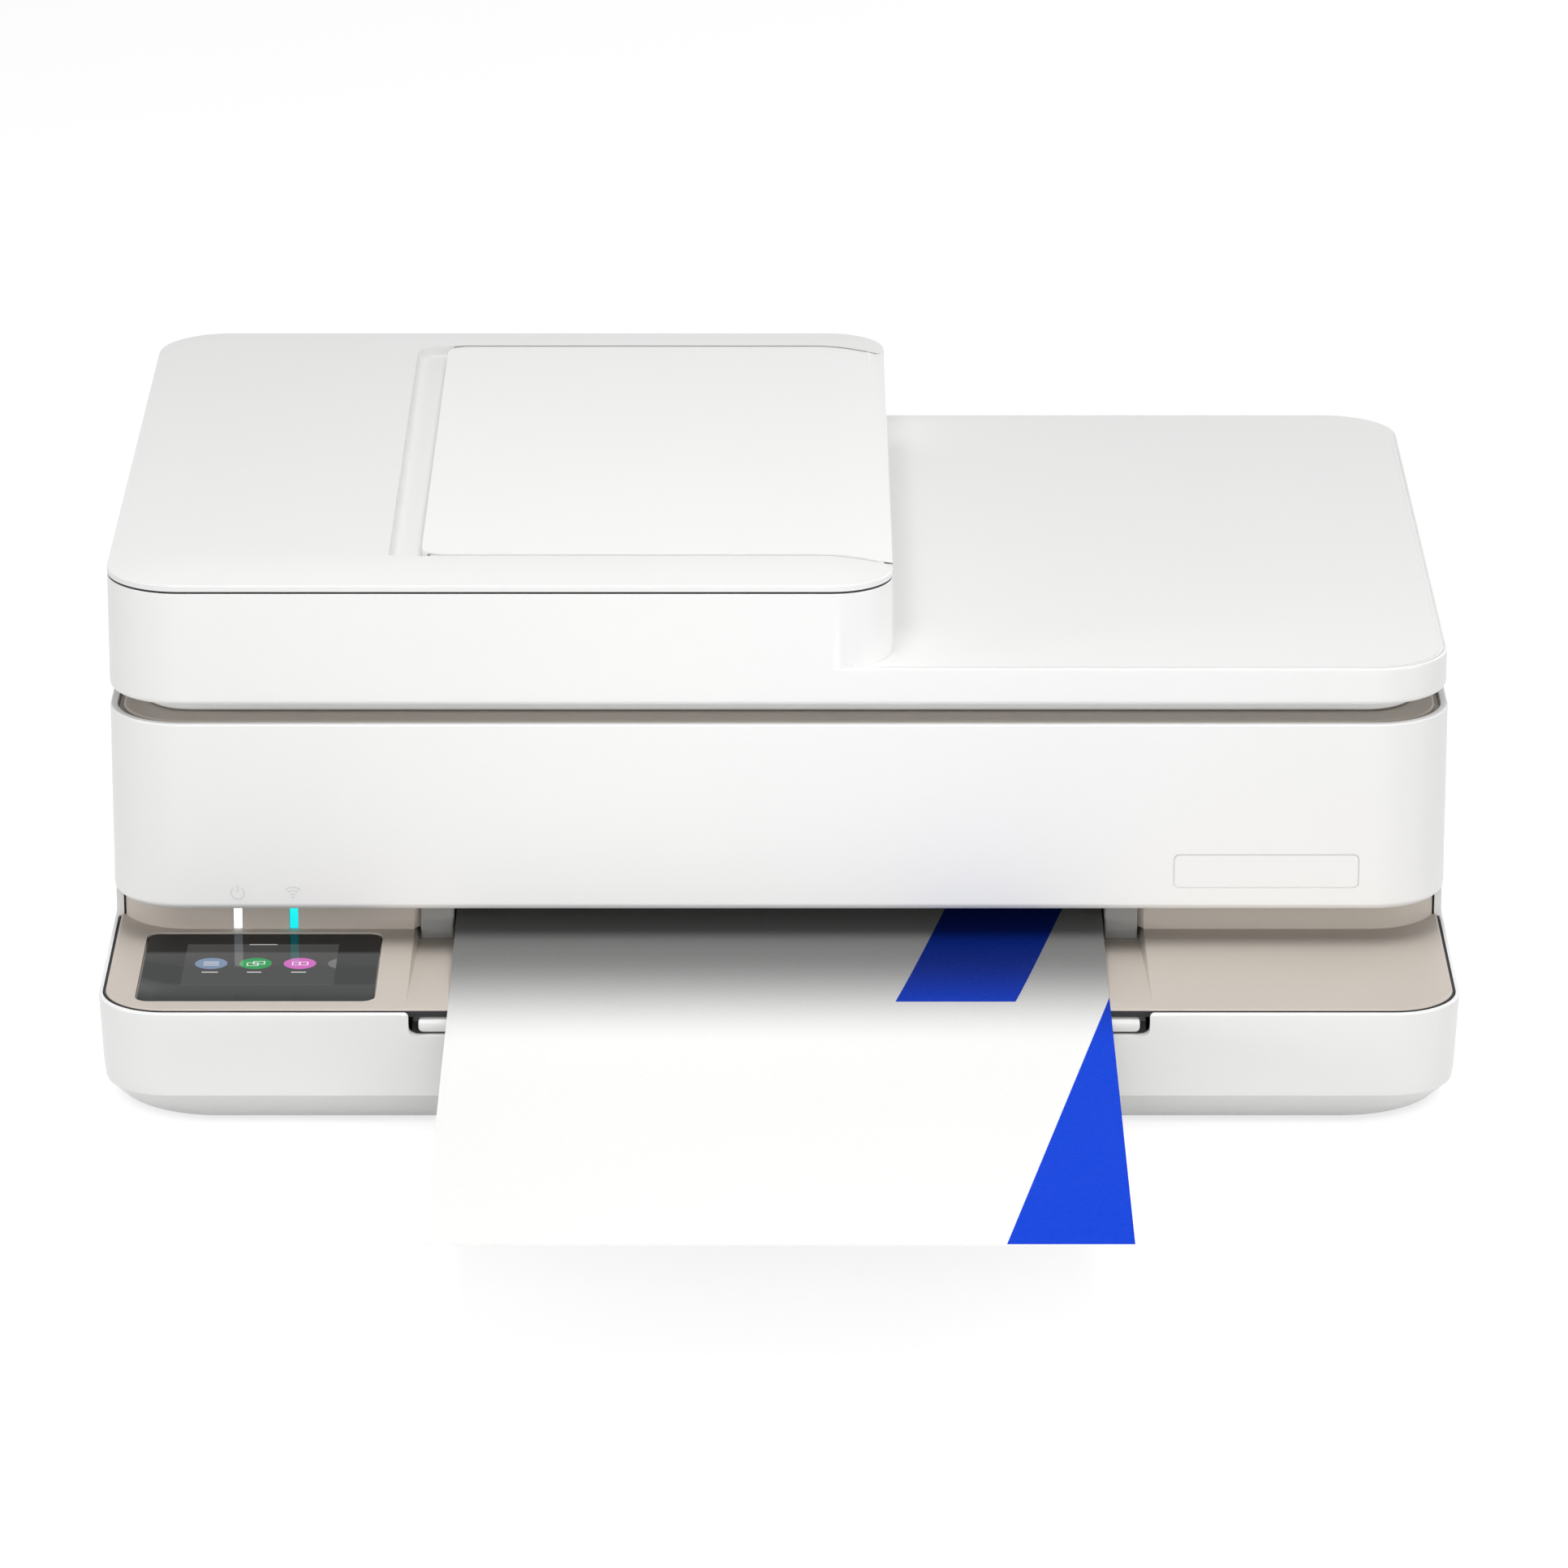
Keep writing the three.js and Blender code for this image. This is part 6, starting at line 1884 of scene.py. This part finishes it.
@dataclass(frozen=True)
class SheetFeeder:
    """The pillowed feeder cover with its finger groove, and the flap."""

    lid: Lid = Lid()
    gap: float = 0.7
    edge: float = 164.8
    top: float = 168
    roll: float = 24
    flap: Outline = Outline(-115, FAR, 83.3, 329.6, (7, 0.4, 0.4, 7))
    proud: float = 0.5
    tilt: float = 0.8
    flap_gap: float = 0.6
    groove: float = 10.5
    groove_floor: float = 1.4
    groove_ramp: float = 11
    axis: Pair = (30.5, 163.6)
    skirt: float = 159.8
    skirt_width: float = 3
    barrel: float = 2.2
    pin: float = 1.4
    lug: float = 4
    groove_left: float = 2.6
    # painted shade: the grey strips that stand for the shade in the flap's gaps
    gap_shade_sides: Pair = (0.56, 0.12)
    gap_shade_drop: float = 0.08
    gap_shade_end: Pair = (24, 165.2)

    @property
    def bottom(self) -> float:
        """The underside of the cover."""
        return self.lid.seam + self.gap

    def pillow(self, low: float, lift: float) -> Solid:
        """The top: a wide roll from a crisp edge up to the flat middle.

        Args:
            low: Its underside.
            lift: How far it is raised.

        Returns:
            The solid.
        """
        shape, steps = self.lid.feeder(), 14
        rows = [(low, shape), (self.edge + lift - 0.3, shape)]
        for i in range(steps + 1):
            share = i / steps
            rise = (self.top - self.edge) * math.sin(share * math.pi / 2)
            rows.append((self.edge + lift + rise, shape.inset(self.roll * share + 0.25)))
        return loft(rows)

    def hollow(self, grow: float) -> Outline:
        """The flap's outline, grown by a gap."""
        flap = self.flap
        return Outline(flap.left - grow, FAR, flap.front - grow, flap.back + grow, flap.radii)

    def scoop(self) -> Solid:
        """The finger groove: rounded at its left wall, and rising out at its front.

        Returns:
            The cutter.
        """
        flap, steps, corner = self.flap, 12, self.groove
        start, end = flap.front - 1.5, flap.back + self.flap_gap
        floor = self.bottom + self.groove_floor
        right = flap.left + 3
        rows = [(start + self.groove_ramp * i / steps, i / steps) for i in range(steps + 1)]
        rows += [
            (end - corner + corner * math.sin(math.pi / 2 * i / steps), 1.0)
            for i in range(steps + 1)
        ]
        rings = []
        for y, share in rows:
            low = floor + (self.top + 0.4 - floor) * (1 - math.sin(share * math.pi / 2)) ** 1.6
            past = max(0.0, y - (end - corner))
            left = flap.left - self.groove + corner - math.sqrt(max(corner**2 - past**2, 0.01))
            round_x = min(self.groove_left - 1.8 * past / corner, right - left - 0.5)
            drop = self.top + 0.6 - low
            wall = [
                (left + round_x * (1 - math.cos(t)), low + drop * (1 - math.sin(t)))
                for t in (math.pi / 2 * i / 8 for i in range(9))
            ]
            ring = [(left, FAR), *wall, (right, low), (right, FAR)]
            rings.append([(x, y, z) for x, z in reversed(ring)])
        return stack(rings)

    def cover(self) -> Solid:
        """The cover with the groove, the flap's opening and the lugs.

        Returns:
            The solid.
        """
        ceiling = self.edge + 0.9
        hollow = slab(self.lid.feeder().inset(self.roll / 2), 0, ceiling)
        flap, end = self.flap, self.flap.left + 2
        start, front, back = flap.left - self.groove - 2, flap.front - 2, flap.back + 2
        shelf = box(start, end, front, back, self.bottom, ceiling + 0.5)
        lugs = []
        for y in (flap.front - GAP - self.lug, flap.back + GAP):
            x = self.axis[0]
            lugs.append(box(x - 5, x + 3, y, y + self.lug, self.axis[1] - self.lug, self.edge + 1))
        reach = self.lug + 1
        holes = rod(Axis.Y, self.pin + RUNNING, flap.front - reach, flap.back + reach, self.axis)
        floor = self.bottom + self.groove_floor
        body = cut(
            add(cut(self.pillow(self.bottom, 0), hollow), shelf),
            self.scoop(),
            slab(self.hollow(self.flap_gap), floor, FAR),
            box(end, FAR, flap.front - GAP, flap.back + GAP, 0, FAR),
        )
        return cut(add(body, *lugs), holes)

    def gap_shade_strip(self) -> Solid:
        """Grey strips set in the gaps in front of the flap and behind it, as painted shade in those
        gaps.

        Returns:
            The solid.
        """
        outer, inner = self.gap_shade_sides
        sheet = self.pillow(self.bottom + self.groove_floor, -self.gap_shade_drop)
        end, height = self.gap_shade_end
        return cut(
            keep(sheet, slab(self.hollow(outer), 0, FAR)),
            slab(self.hollow(inner), 0, FAR),
            box(-FAR, self.flap.left + 2, -FAR, FAR, 0, FAR),
            box(end, FAR, -FAR, FAR, 0, height),
            box(self.lid.feeder_right - GAP, FAR, -FAR, FAR, 0, FAR),
        )

    def sheet(self) -> Solid:
        """The flap with its skirt, barrel and pins.

        Returns:
            The solid.
        """
        flap = self.flap
        low = self.bottom + self.groove_floor + GAP + self.tilt
        body = keep(self.pillow(low, self.proud), slab(self.hollow(0), 0, FAR))
        lean = self.tilt / (flap.back - flap.front)
        for vertex in body.data.vertices:
            vertex.co.z -= lean * (vertex.co.y - flap.front)
        right = self.lid.feeder_right - GAP
        left, high = right - self.skirt_width, self.edge + 0.2
        skirt = box(left, right, flap.front, flap.back, self.skirt, high)
        barrel = rod(Axis.Y, self.barrel, flap.front, flap.back, self.axis)
        pins = rod(Axis.Y, self.pin, flap.front - self.lug, flap.back + self.lug, self.axis)
        return add(body, skirt, barrel, pins)

    def build(self) -> None:
        """Makes and hangs the pieces."""
        # the feeder cover gets the darker copy of the white shell as painted shade
        dress(self.cover(), SHADED_WHITE, "feeder_cover", "feeder_cover")
        # painted shade: grey strips in the gaps round the flap
        hang(self.gap_shade_strip(), "flap_gasket", GREY, "feeder_cover")
        # the flap gets the lighter copy of the white shell as painted highlight
        dress(self.sheet(), LIT_WHITE, "feeder_flap", "feeder_flap")


@dataclass(frozen=True)
class ExitBridge:
    """The grey bridge over the slot with its end blocks, brackets and star wheels."""

    rows: Rows
    half: float = 116.5
    block: float = 10.8
    block_y: Pair = (77.8, 88)
    bar_y: Pair = (87, 99)
    low: float = 38.9
    top: float = 54.6
    edge: float = 0.5
    thickness: float = 1.2
    foot: float = 0.4
    arm_y: Pair = (95.5, 98.5)
    arm_gap: float = 2.3
    arm_half: float = 0.7
    rib_half: float = 0.6
    rib_z: Pair = (3.4, 1)
    rib_ends: Pair = (0.5, 3.6)
    rib_count: int = 17
    rib_pitch: float = 12
    wheel_x: tuple[float, ...] = (-84, -28, 28, 84)
    wheel: Triple = (97, 51.4, 3.2)
    points: int = 16
    valley: float = 0.78

    def build(self) -> None:
        """Makes and hangs the pieces."""
        body = box(-self.half, self.half, *self.bar_y, self.top - self.thickness, self.top)
        blocks = []
        for side in (-1, 1):
            x0, x1 = span(side, self.half - self.block, self.half)
            shape = Outline(x0, x1, *self.block_y, (0.8, 0.8, 0.3, 0.3))
            levels = [(self.low, shape.inset(self.foot)), (self.low + self.foot, shape)]
            blocks.append(loft(levels + rounded(shape, self.top, self.edge, 3)))
        half, low, high = self.arm_half, self.wheel[1] - 0.6, self.top - 0.4
        arms = [
            box(x + d - half, x + d + half, *self.arm_y, low, high)
            for x in self.wheel_x
            for d in (-self.arm_gap, self.arm_gap)
        ]
        half, low, high = self.rib_half, *(self.top - depth for depth in self.rib_z)
        front, back = self.bar_y[0] + self.rib_ends[0], self.bar_y[1] - self.rib_ends[1]
        rib = box(-half, half, front, back, low, high)
        first = (-self.rib_pitch * (self.rib_count - 1) / 2, 0, 0)
        ribs = self.rows.run(rib, GREY, self.rib_count, first, (self.rib_pitch, 0, 0))
        bridge = merged(add(body, *blocks, *arms), ribs)
        dress(bridge, GREY, "base", "exit_bridge")
        y, z, radius = self.wheel
        step = math.pi / self.points
        star = [
            (reach * math.cos(i * step), reach * math.sin(i * step))
            for i, reach in enumerate((radius, radius * self.valley) * self.points)
        ]
        disc = add(prism(Axis.X, star, -0.4, 0.4), rod(Axis.X, 1.1, -1.6, 1.6, (0, 0)))
        pitch = self.wheel_x[1] - self.wheel_x[0]
        first = (self.wheel_x[0], y, z)
        stars = self.rows.run(disc, STEEL, len(self.wheel_x), first, (pitch, 0, 0))
        hang(stars, "star_wheels", STEEL, "base")


@dataclass(frozen=True)
class PaperPath:
    """The printed sheet on its curve out of the slot."""

    half: float = 105
    length: float = 297
    thickness: float = 0.4
    steps: int = 40
    curve: tuple[Pair, ...] = ((97.5, 47.5), (60.45, 44.9), (29.25, 42.6), (0, 42.6))

    def spine(self) -> list[Pair]:
        """The sheet's middle line from the slot to its free edge.

        Returns:
            Points as y and z.
        """
        found = []
        for i in range(self.steps + 1):
            t = i / self.steps
            weights = ((1 - t) ** 3, 3 * t * (1 - t) ** 2, 3 * t * t * (1 - t), t**3)
            found.append(tuple(sum(w * p[k] for w, p in zip(weights, self.curve)) for k in (0, 1)))
        run = sum(math.dist(a, b) for a, b in zip(found, found[1:]))
        end = self.curve[-1][0] - (self.length - run)
        rest = [(end * i / 24, self.curve[-1][1]) for i in range(1, 25)]
        return found + rest

    def build(self) -> None:
        """Makes and hangs the sheet."""
        spine = self.spine()
        low = [(y, z - self.thickness / 2) for y, z in spine]
        high = [(y, z + self.thickness / 2) for y, z in reversed(spine)]
        made = prism(Axis.X, low + high, -self.half, self.half)
        hang(made, "printed_sheet_fine", SHEET, "sheet", "printed_sheet", angle=50)


@dataclass(frozen=True)
class PaperDrawer:
    """The tray's ribs, the stack of paper and the extender."""

    rows: Rows
    half: float = 117
    front: float = 19.5
    low: float = 5
    floor: float = 2.4
    wall: float = 2
    lip: Triple = (114.3, 1, 5)
    lip_z: Pair = (34.6, 39.6)
    plate: Triple = (96.3, 2, 165)
    plate_z: Pair = (34.9, 36.4)
    slot_x: Triple = (-60, 0, 60)
    slot_depth: float = 0.6
    stack: Outline = Outline(-105, 105, 22, 319, (0.4,) * 4)
    stack_z: Pair = (7.9, 30.9)
    rib_count: int = 14
    rib_pitch: float = 22

    def extender(self) -> Solid:
        """The flat extender with its rolled lip.

        Returns:
            The solid.
        """
        half, near, far = self.lip
        low, high = self.lip_z
        profile = Outline(near, far, low, high, (2.2, 1, 1.2, 2.2)).points(8)
        roll = prism(Axis.X, profile, -half, half)
        ends = Outline(-half, half, low, high, (2.4, 2.4, 1.2, 1.2)).points(8)
        lip = keep(roll, prism(Axis.Y, ends, near - 1, far + 1))
        plate_half, start, end = self.plate
        shape = Outline(-plate_half, plate_half, start, end, (1, 1, 6, 6))
        low = self.plate_z[1] - self.slot_depth
        rounds = (Outline(x - 3, x + 3, 40, end - 20, (3,) * 4) for x in self.slot_x)
        slots = [slab(slot, low, FAR) for slot in rounds]
        return add(cut(slab(shape, *self.plate_z), *slots), lip)

    def build(self) -> None:
        """Makes and hangs the pieces."""
        dress(self.extender(), WHITE, "output_extender", "output_extender")
        edge = [(self.stack_z[0], self.stack), (self.stack_z[1], self.stack)]
        dress(loft(edge, 3), REAM, "drawer", "paper_stack")
        rib = box(-self.half + self.wall, self.half - self.wall, -0.5, 0.5, 0, 0.45)
        first = (0, self.front + 12, self.low + self.floor - 0.1)
        ribs = self.rows.run(rib, PALE, self.rib_count, first, (0, self.rib_pitch, 0))
        hang(ribs, "tray_ribs", PALE, "drawer")


@dataclass(frozen=True)
class Inside:
    """A rigid piece that keeps its own form and gets eased edges and a finish."""

    body: str
    finish: Finish
    nodes: tuple[str, ...]
    edge: float

    def build(self) -> None:
        """Makes and hangs a dressed copy of each piece."""
        for node in self.nodes:
            made = copy(bpy.data.objects[node])
            step = made.modifiers.new("doubles", "WELD")
            step.merge_threshold = 0.000005
            ease = made.modifiers.new("edges", "BEVEL")
            ease.width, ease.segments = self.edge / 1000, 2
            ease.limit_method, ease.angle_limit = "ANGLE", math.radians(50)
            ease.use_clamp_overlap = True
            bpy.context.view_layer.update()
            baked(made)
            hang(made, f"{node}_fine", self.finish, self.body, node, placed=True)


def loose(finish: Finish, edge: float, *nodes: str) -> list[Inside]:
    """Pieces that are each alone on the body of their own name."""
    return [Inside(node, finish, (node,), edge) for node in nodes]


INSIDES = (
    Inside("base", STEEL, ("upper_hinge_left", "upper_hinge_right", "engine_frame"), 0.2),
    Inside("base", STEEL, ("carriage_rail", "drive_motor", "carriage_motor"), 0.3),
    Inside("base", TYRE, ("carriage_belt",), 0.1),
    Inside("base", BLACK, ("platen", "turn_guide", "power_supply"), 0.3),
    Inside("base", GREY, ("service_station",), 0.3),
    Inside("base", BOARD, ("main_board",), 0.1),
    Inside("base", PANEL, ("display_module",), 0.1),
    *loose(BLACK, 0.4, "scan_bar"),
    Inside("lid_hinges", PALE, ("lid_post_left", "lid_post_right"), 0.4),
    Inside("lid", PALE, ("feeder_ramp",), 0.3),
    *loose(PALE, 0.3, "feeder_guide_front", "feeder_guide_rear"),
    *loose(TYRE, 0.3, "feeder_roller"),
    Inside("drawer", PALE, ("paper_tray",), 0.4),
    *loose(PALE, 0.3, "paper_guide_left", "paper_guide_right", "paper_guide_rear"),
    *loose(TYRE, 0.3, "feed_roller", "exit_roller", "pick_roller"),
    *loose(GREY, 0.1, "transfer_gear"),
    *loose(BRASS, 0.08, "drive_pinion"),
    *loose(GREY, 0.2, "drive_pulley", "idle_pulley"),
    Inside("carriage", BLACK, ("carriage", "cartridge_left"), 0.4),
    Inside("carriage", INK, ("cartridge_right",), 0.4),
    *loose(GREY, 0.3, "latch_left", "latch_right", "service_sled"),
    *loose(WHITE, 0.4, "power_button", "wifi_button"),
)


# ---------------------------------------------------------------- studio


@dataclass(frozen=True)
class Lamp:
    """A square softbox."""

    name: str
    place: Triple
    aim: Triple
    size: float
    power: float

    def build(self) -> None:
        """Hangs the lamp and points it."""
        data = bpy.data.lights.new(self.name, "AREA")
        data.size, data.energy = self.size, self.power
        made = bpy.data.objects.new(self.name, data)
        made.location = self.place
        turn = (Vector(self.aim) - Vector(self.place)).to_track_quat("-Z", "Y")
        made.rotation_euler = turn.to_euler()
        made.visible_camera = False
        bpy.context.scene.collection.objects.link(made)


@dataclass(frozen=True)
class Studio:
    """The pale floor, the soft lamps, the white backdrop and the camera."""

    lens: float = 198.2
    sensor: float = 36
    pitch: float = 18.7
    shift: float = 0.0031
    eye: Triple = (0, -2565.8, 987)
    floor_tone: Triple = (196, 196, 196)
    floor_lift: float = 0.72
    world: float = 0.35
    lamps: tuple[Lamp, ...] = (
        Lamp("key", (0.03, -0.3, 1.12), (0, 0, 0.1), 0.7, 6.8),
        Lamp("front", (0.06, -1.0, 0.22), (0, 0, 0.08), 0.5, 2.5),
        Lamp("left", (-1.75, -0.72, 0.36), (0, 0, 0.1), 0.5, 9.4),
        Lamp("right", (1.65, -0.82, 0.1), (0, 0, 0.08), 0.35, 9),
        Lamp("back", (1.5, 1.5, 0.8), (0, 0, 0.1), 0.8, 5),
    )

    def build(self) -> None:
        """Makes everything that is not the printer."""
        self.floor()
        self.backdrop()
        for lamp in self.lamps:
            lamp.build()
        self.camera()

    @staticmethod
    def seen(tree: "Tree") -> Signal:
        """Tells what a ray was sent for.

        Args:
            tree: The tree that asks.

        Returns:
            1 for rays from the camera, a mirror or a glass, and 0 for light that bounces on.
        """
        path = tree.add("ShaderNodeLightPath")
        direct, mirrored, through = (
            path.out(f"Is {kind} Ray") for kind in ("Camera", "Glossy", "Transmission")
        )
        return direct.most(mirrored).most(through)

    def floor(self) -> None:
        """Makes the floor, which looks white and keeps the shadow."""
        tree = Tree("floor")
        grain = tree.noise(6, 3)
        tone = paint(*self.floor_tone)
        colour = tree.blend(grain, tone, shade(tone, 0.98))
        matt = tree.add("ShaderNodeBsdfDiffuse", {}, {0: colour}).out(0)
        light = {0: (1, 1, 1, 1), 1: self.seen(tree) * self.floor_lift}
        glow = tree.add("ShaderNodeEmission", {}, light).out(0)
        both = tree.add("ShaderNodeAddShader", {}, {0: matt, 1: glow}).out(0)
        tree.add("ShaderNodeOutputMaterial", {}, {0: both})
        made = tidy("floor", [(-9, -9, 0), (9, -9, 0), (9, 9, 0), (-9, 9, 0)], [(0, 1, 2, 3)])
        made.data.materials.append(tree.material)

    def backdrop(self) -> None:
        """Lights the world, which looks white whatever light it gives."""
        world = bpy.data.worlds.new("studio")
        tree = Tree("studio", world)
        strength = self.seen(tree) * (1 - self.world) + self.world
        shader = tree.add("ShaderNodeBackground", {}, {0: (1, 1, 1, 1), 1: strength}).out(0)
        tree.add("ShaderNodeOutputWorld", {}, {0: shader})
        bpy.context.scene.world = world

    def camera(self) -> None:
        """Makes the camera."""
        data = bpy.data.cameras.new("camera")
        data.lens, data.sensor_width, data.shift_x = self.lens, self.sensor, self.shift
        data.clip_end = 50
        made = bpy.data.objects.new("camera", data)
        x, y, z = self.eye
        made.location = (x / 1000, (y + sheet_origin()) / 1000, z / 1000)
        made.rotation_euler = (math.radians(90 - self.pitch), 0, 0)
        bpy.context.scene.collection.objects.link(made)
        bpy.context.scene.camera = made


def empty_scene() -> None:
    """Takes out what a new file starts with and sets the view."""
    for made in list(bpy.data.objects):
        bpy.data.objects.remove(made)
    bpy.context.scene.view_settings.view_transform = "Standard"


def corners(pair: Iterable[Iterable[float]]) -> list[list[float]]:
    """Two corners as plain numbers."""
    return [[float(value) for value in corner] for corner in pair]


def main() -> None:
    """Builds the whole scene."""
    logging.basicConfig(level=logging.INFO, format="%(message)s")
    empty_scene()
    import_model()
    rows = Rows("rows")
    shells = (LowerCasing(), ControlDeck(), UpperUnit(), Lid(), SheetFeeder())
    paths = (ExitBridge(rows), PaperDrawer(rows), PaperPath())
    for part in (*shells, *paths, *INSIDES):
        part.build()
    Studio().build()


if __name__ == "__main__":
    main()
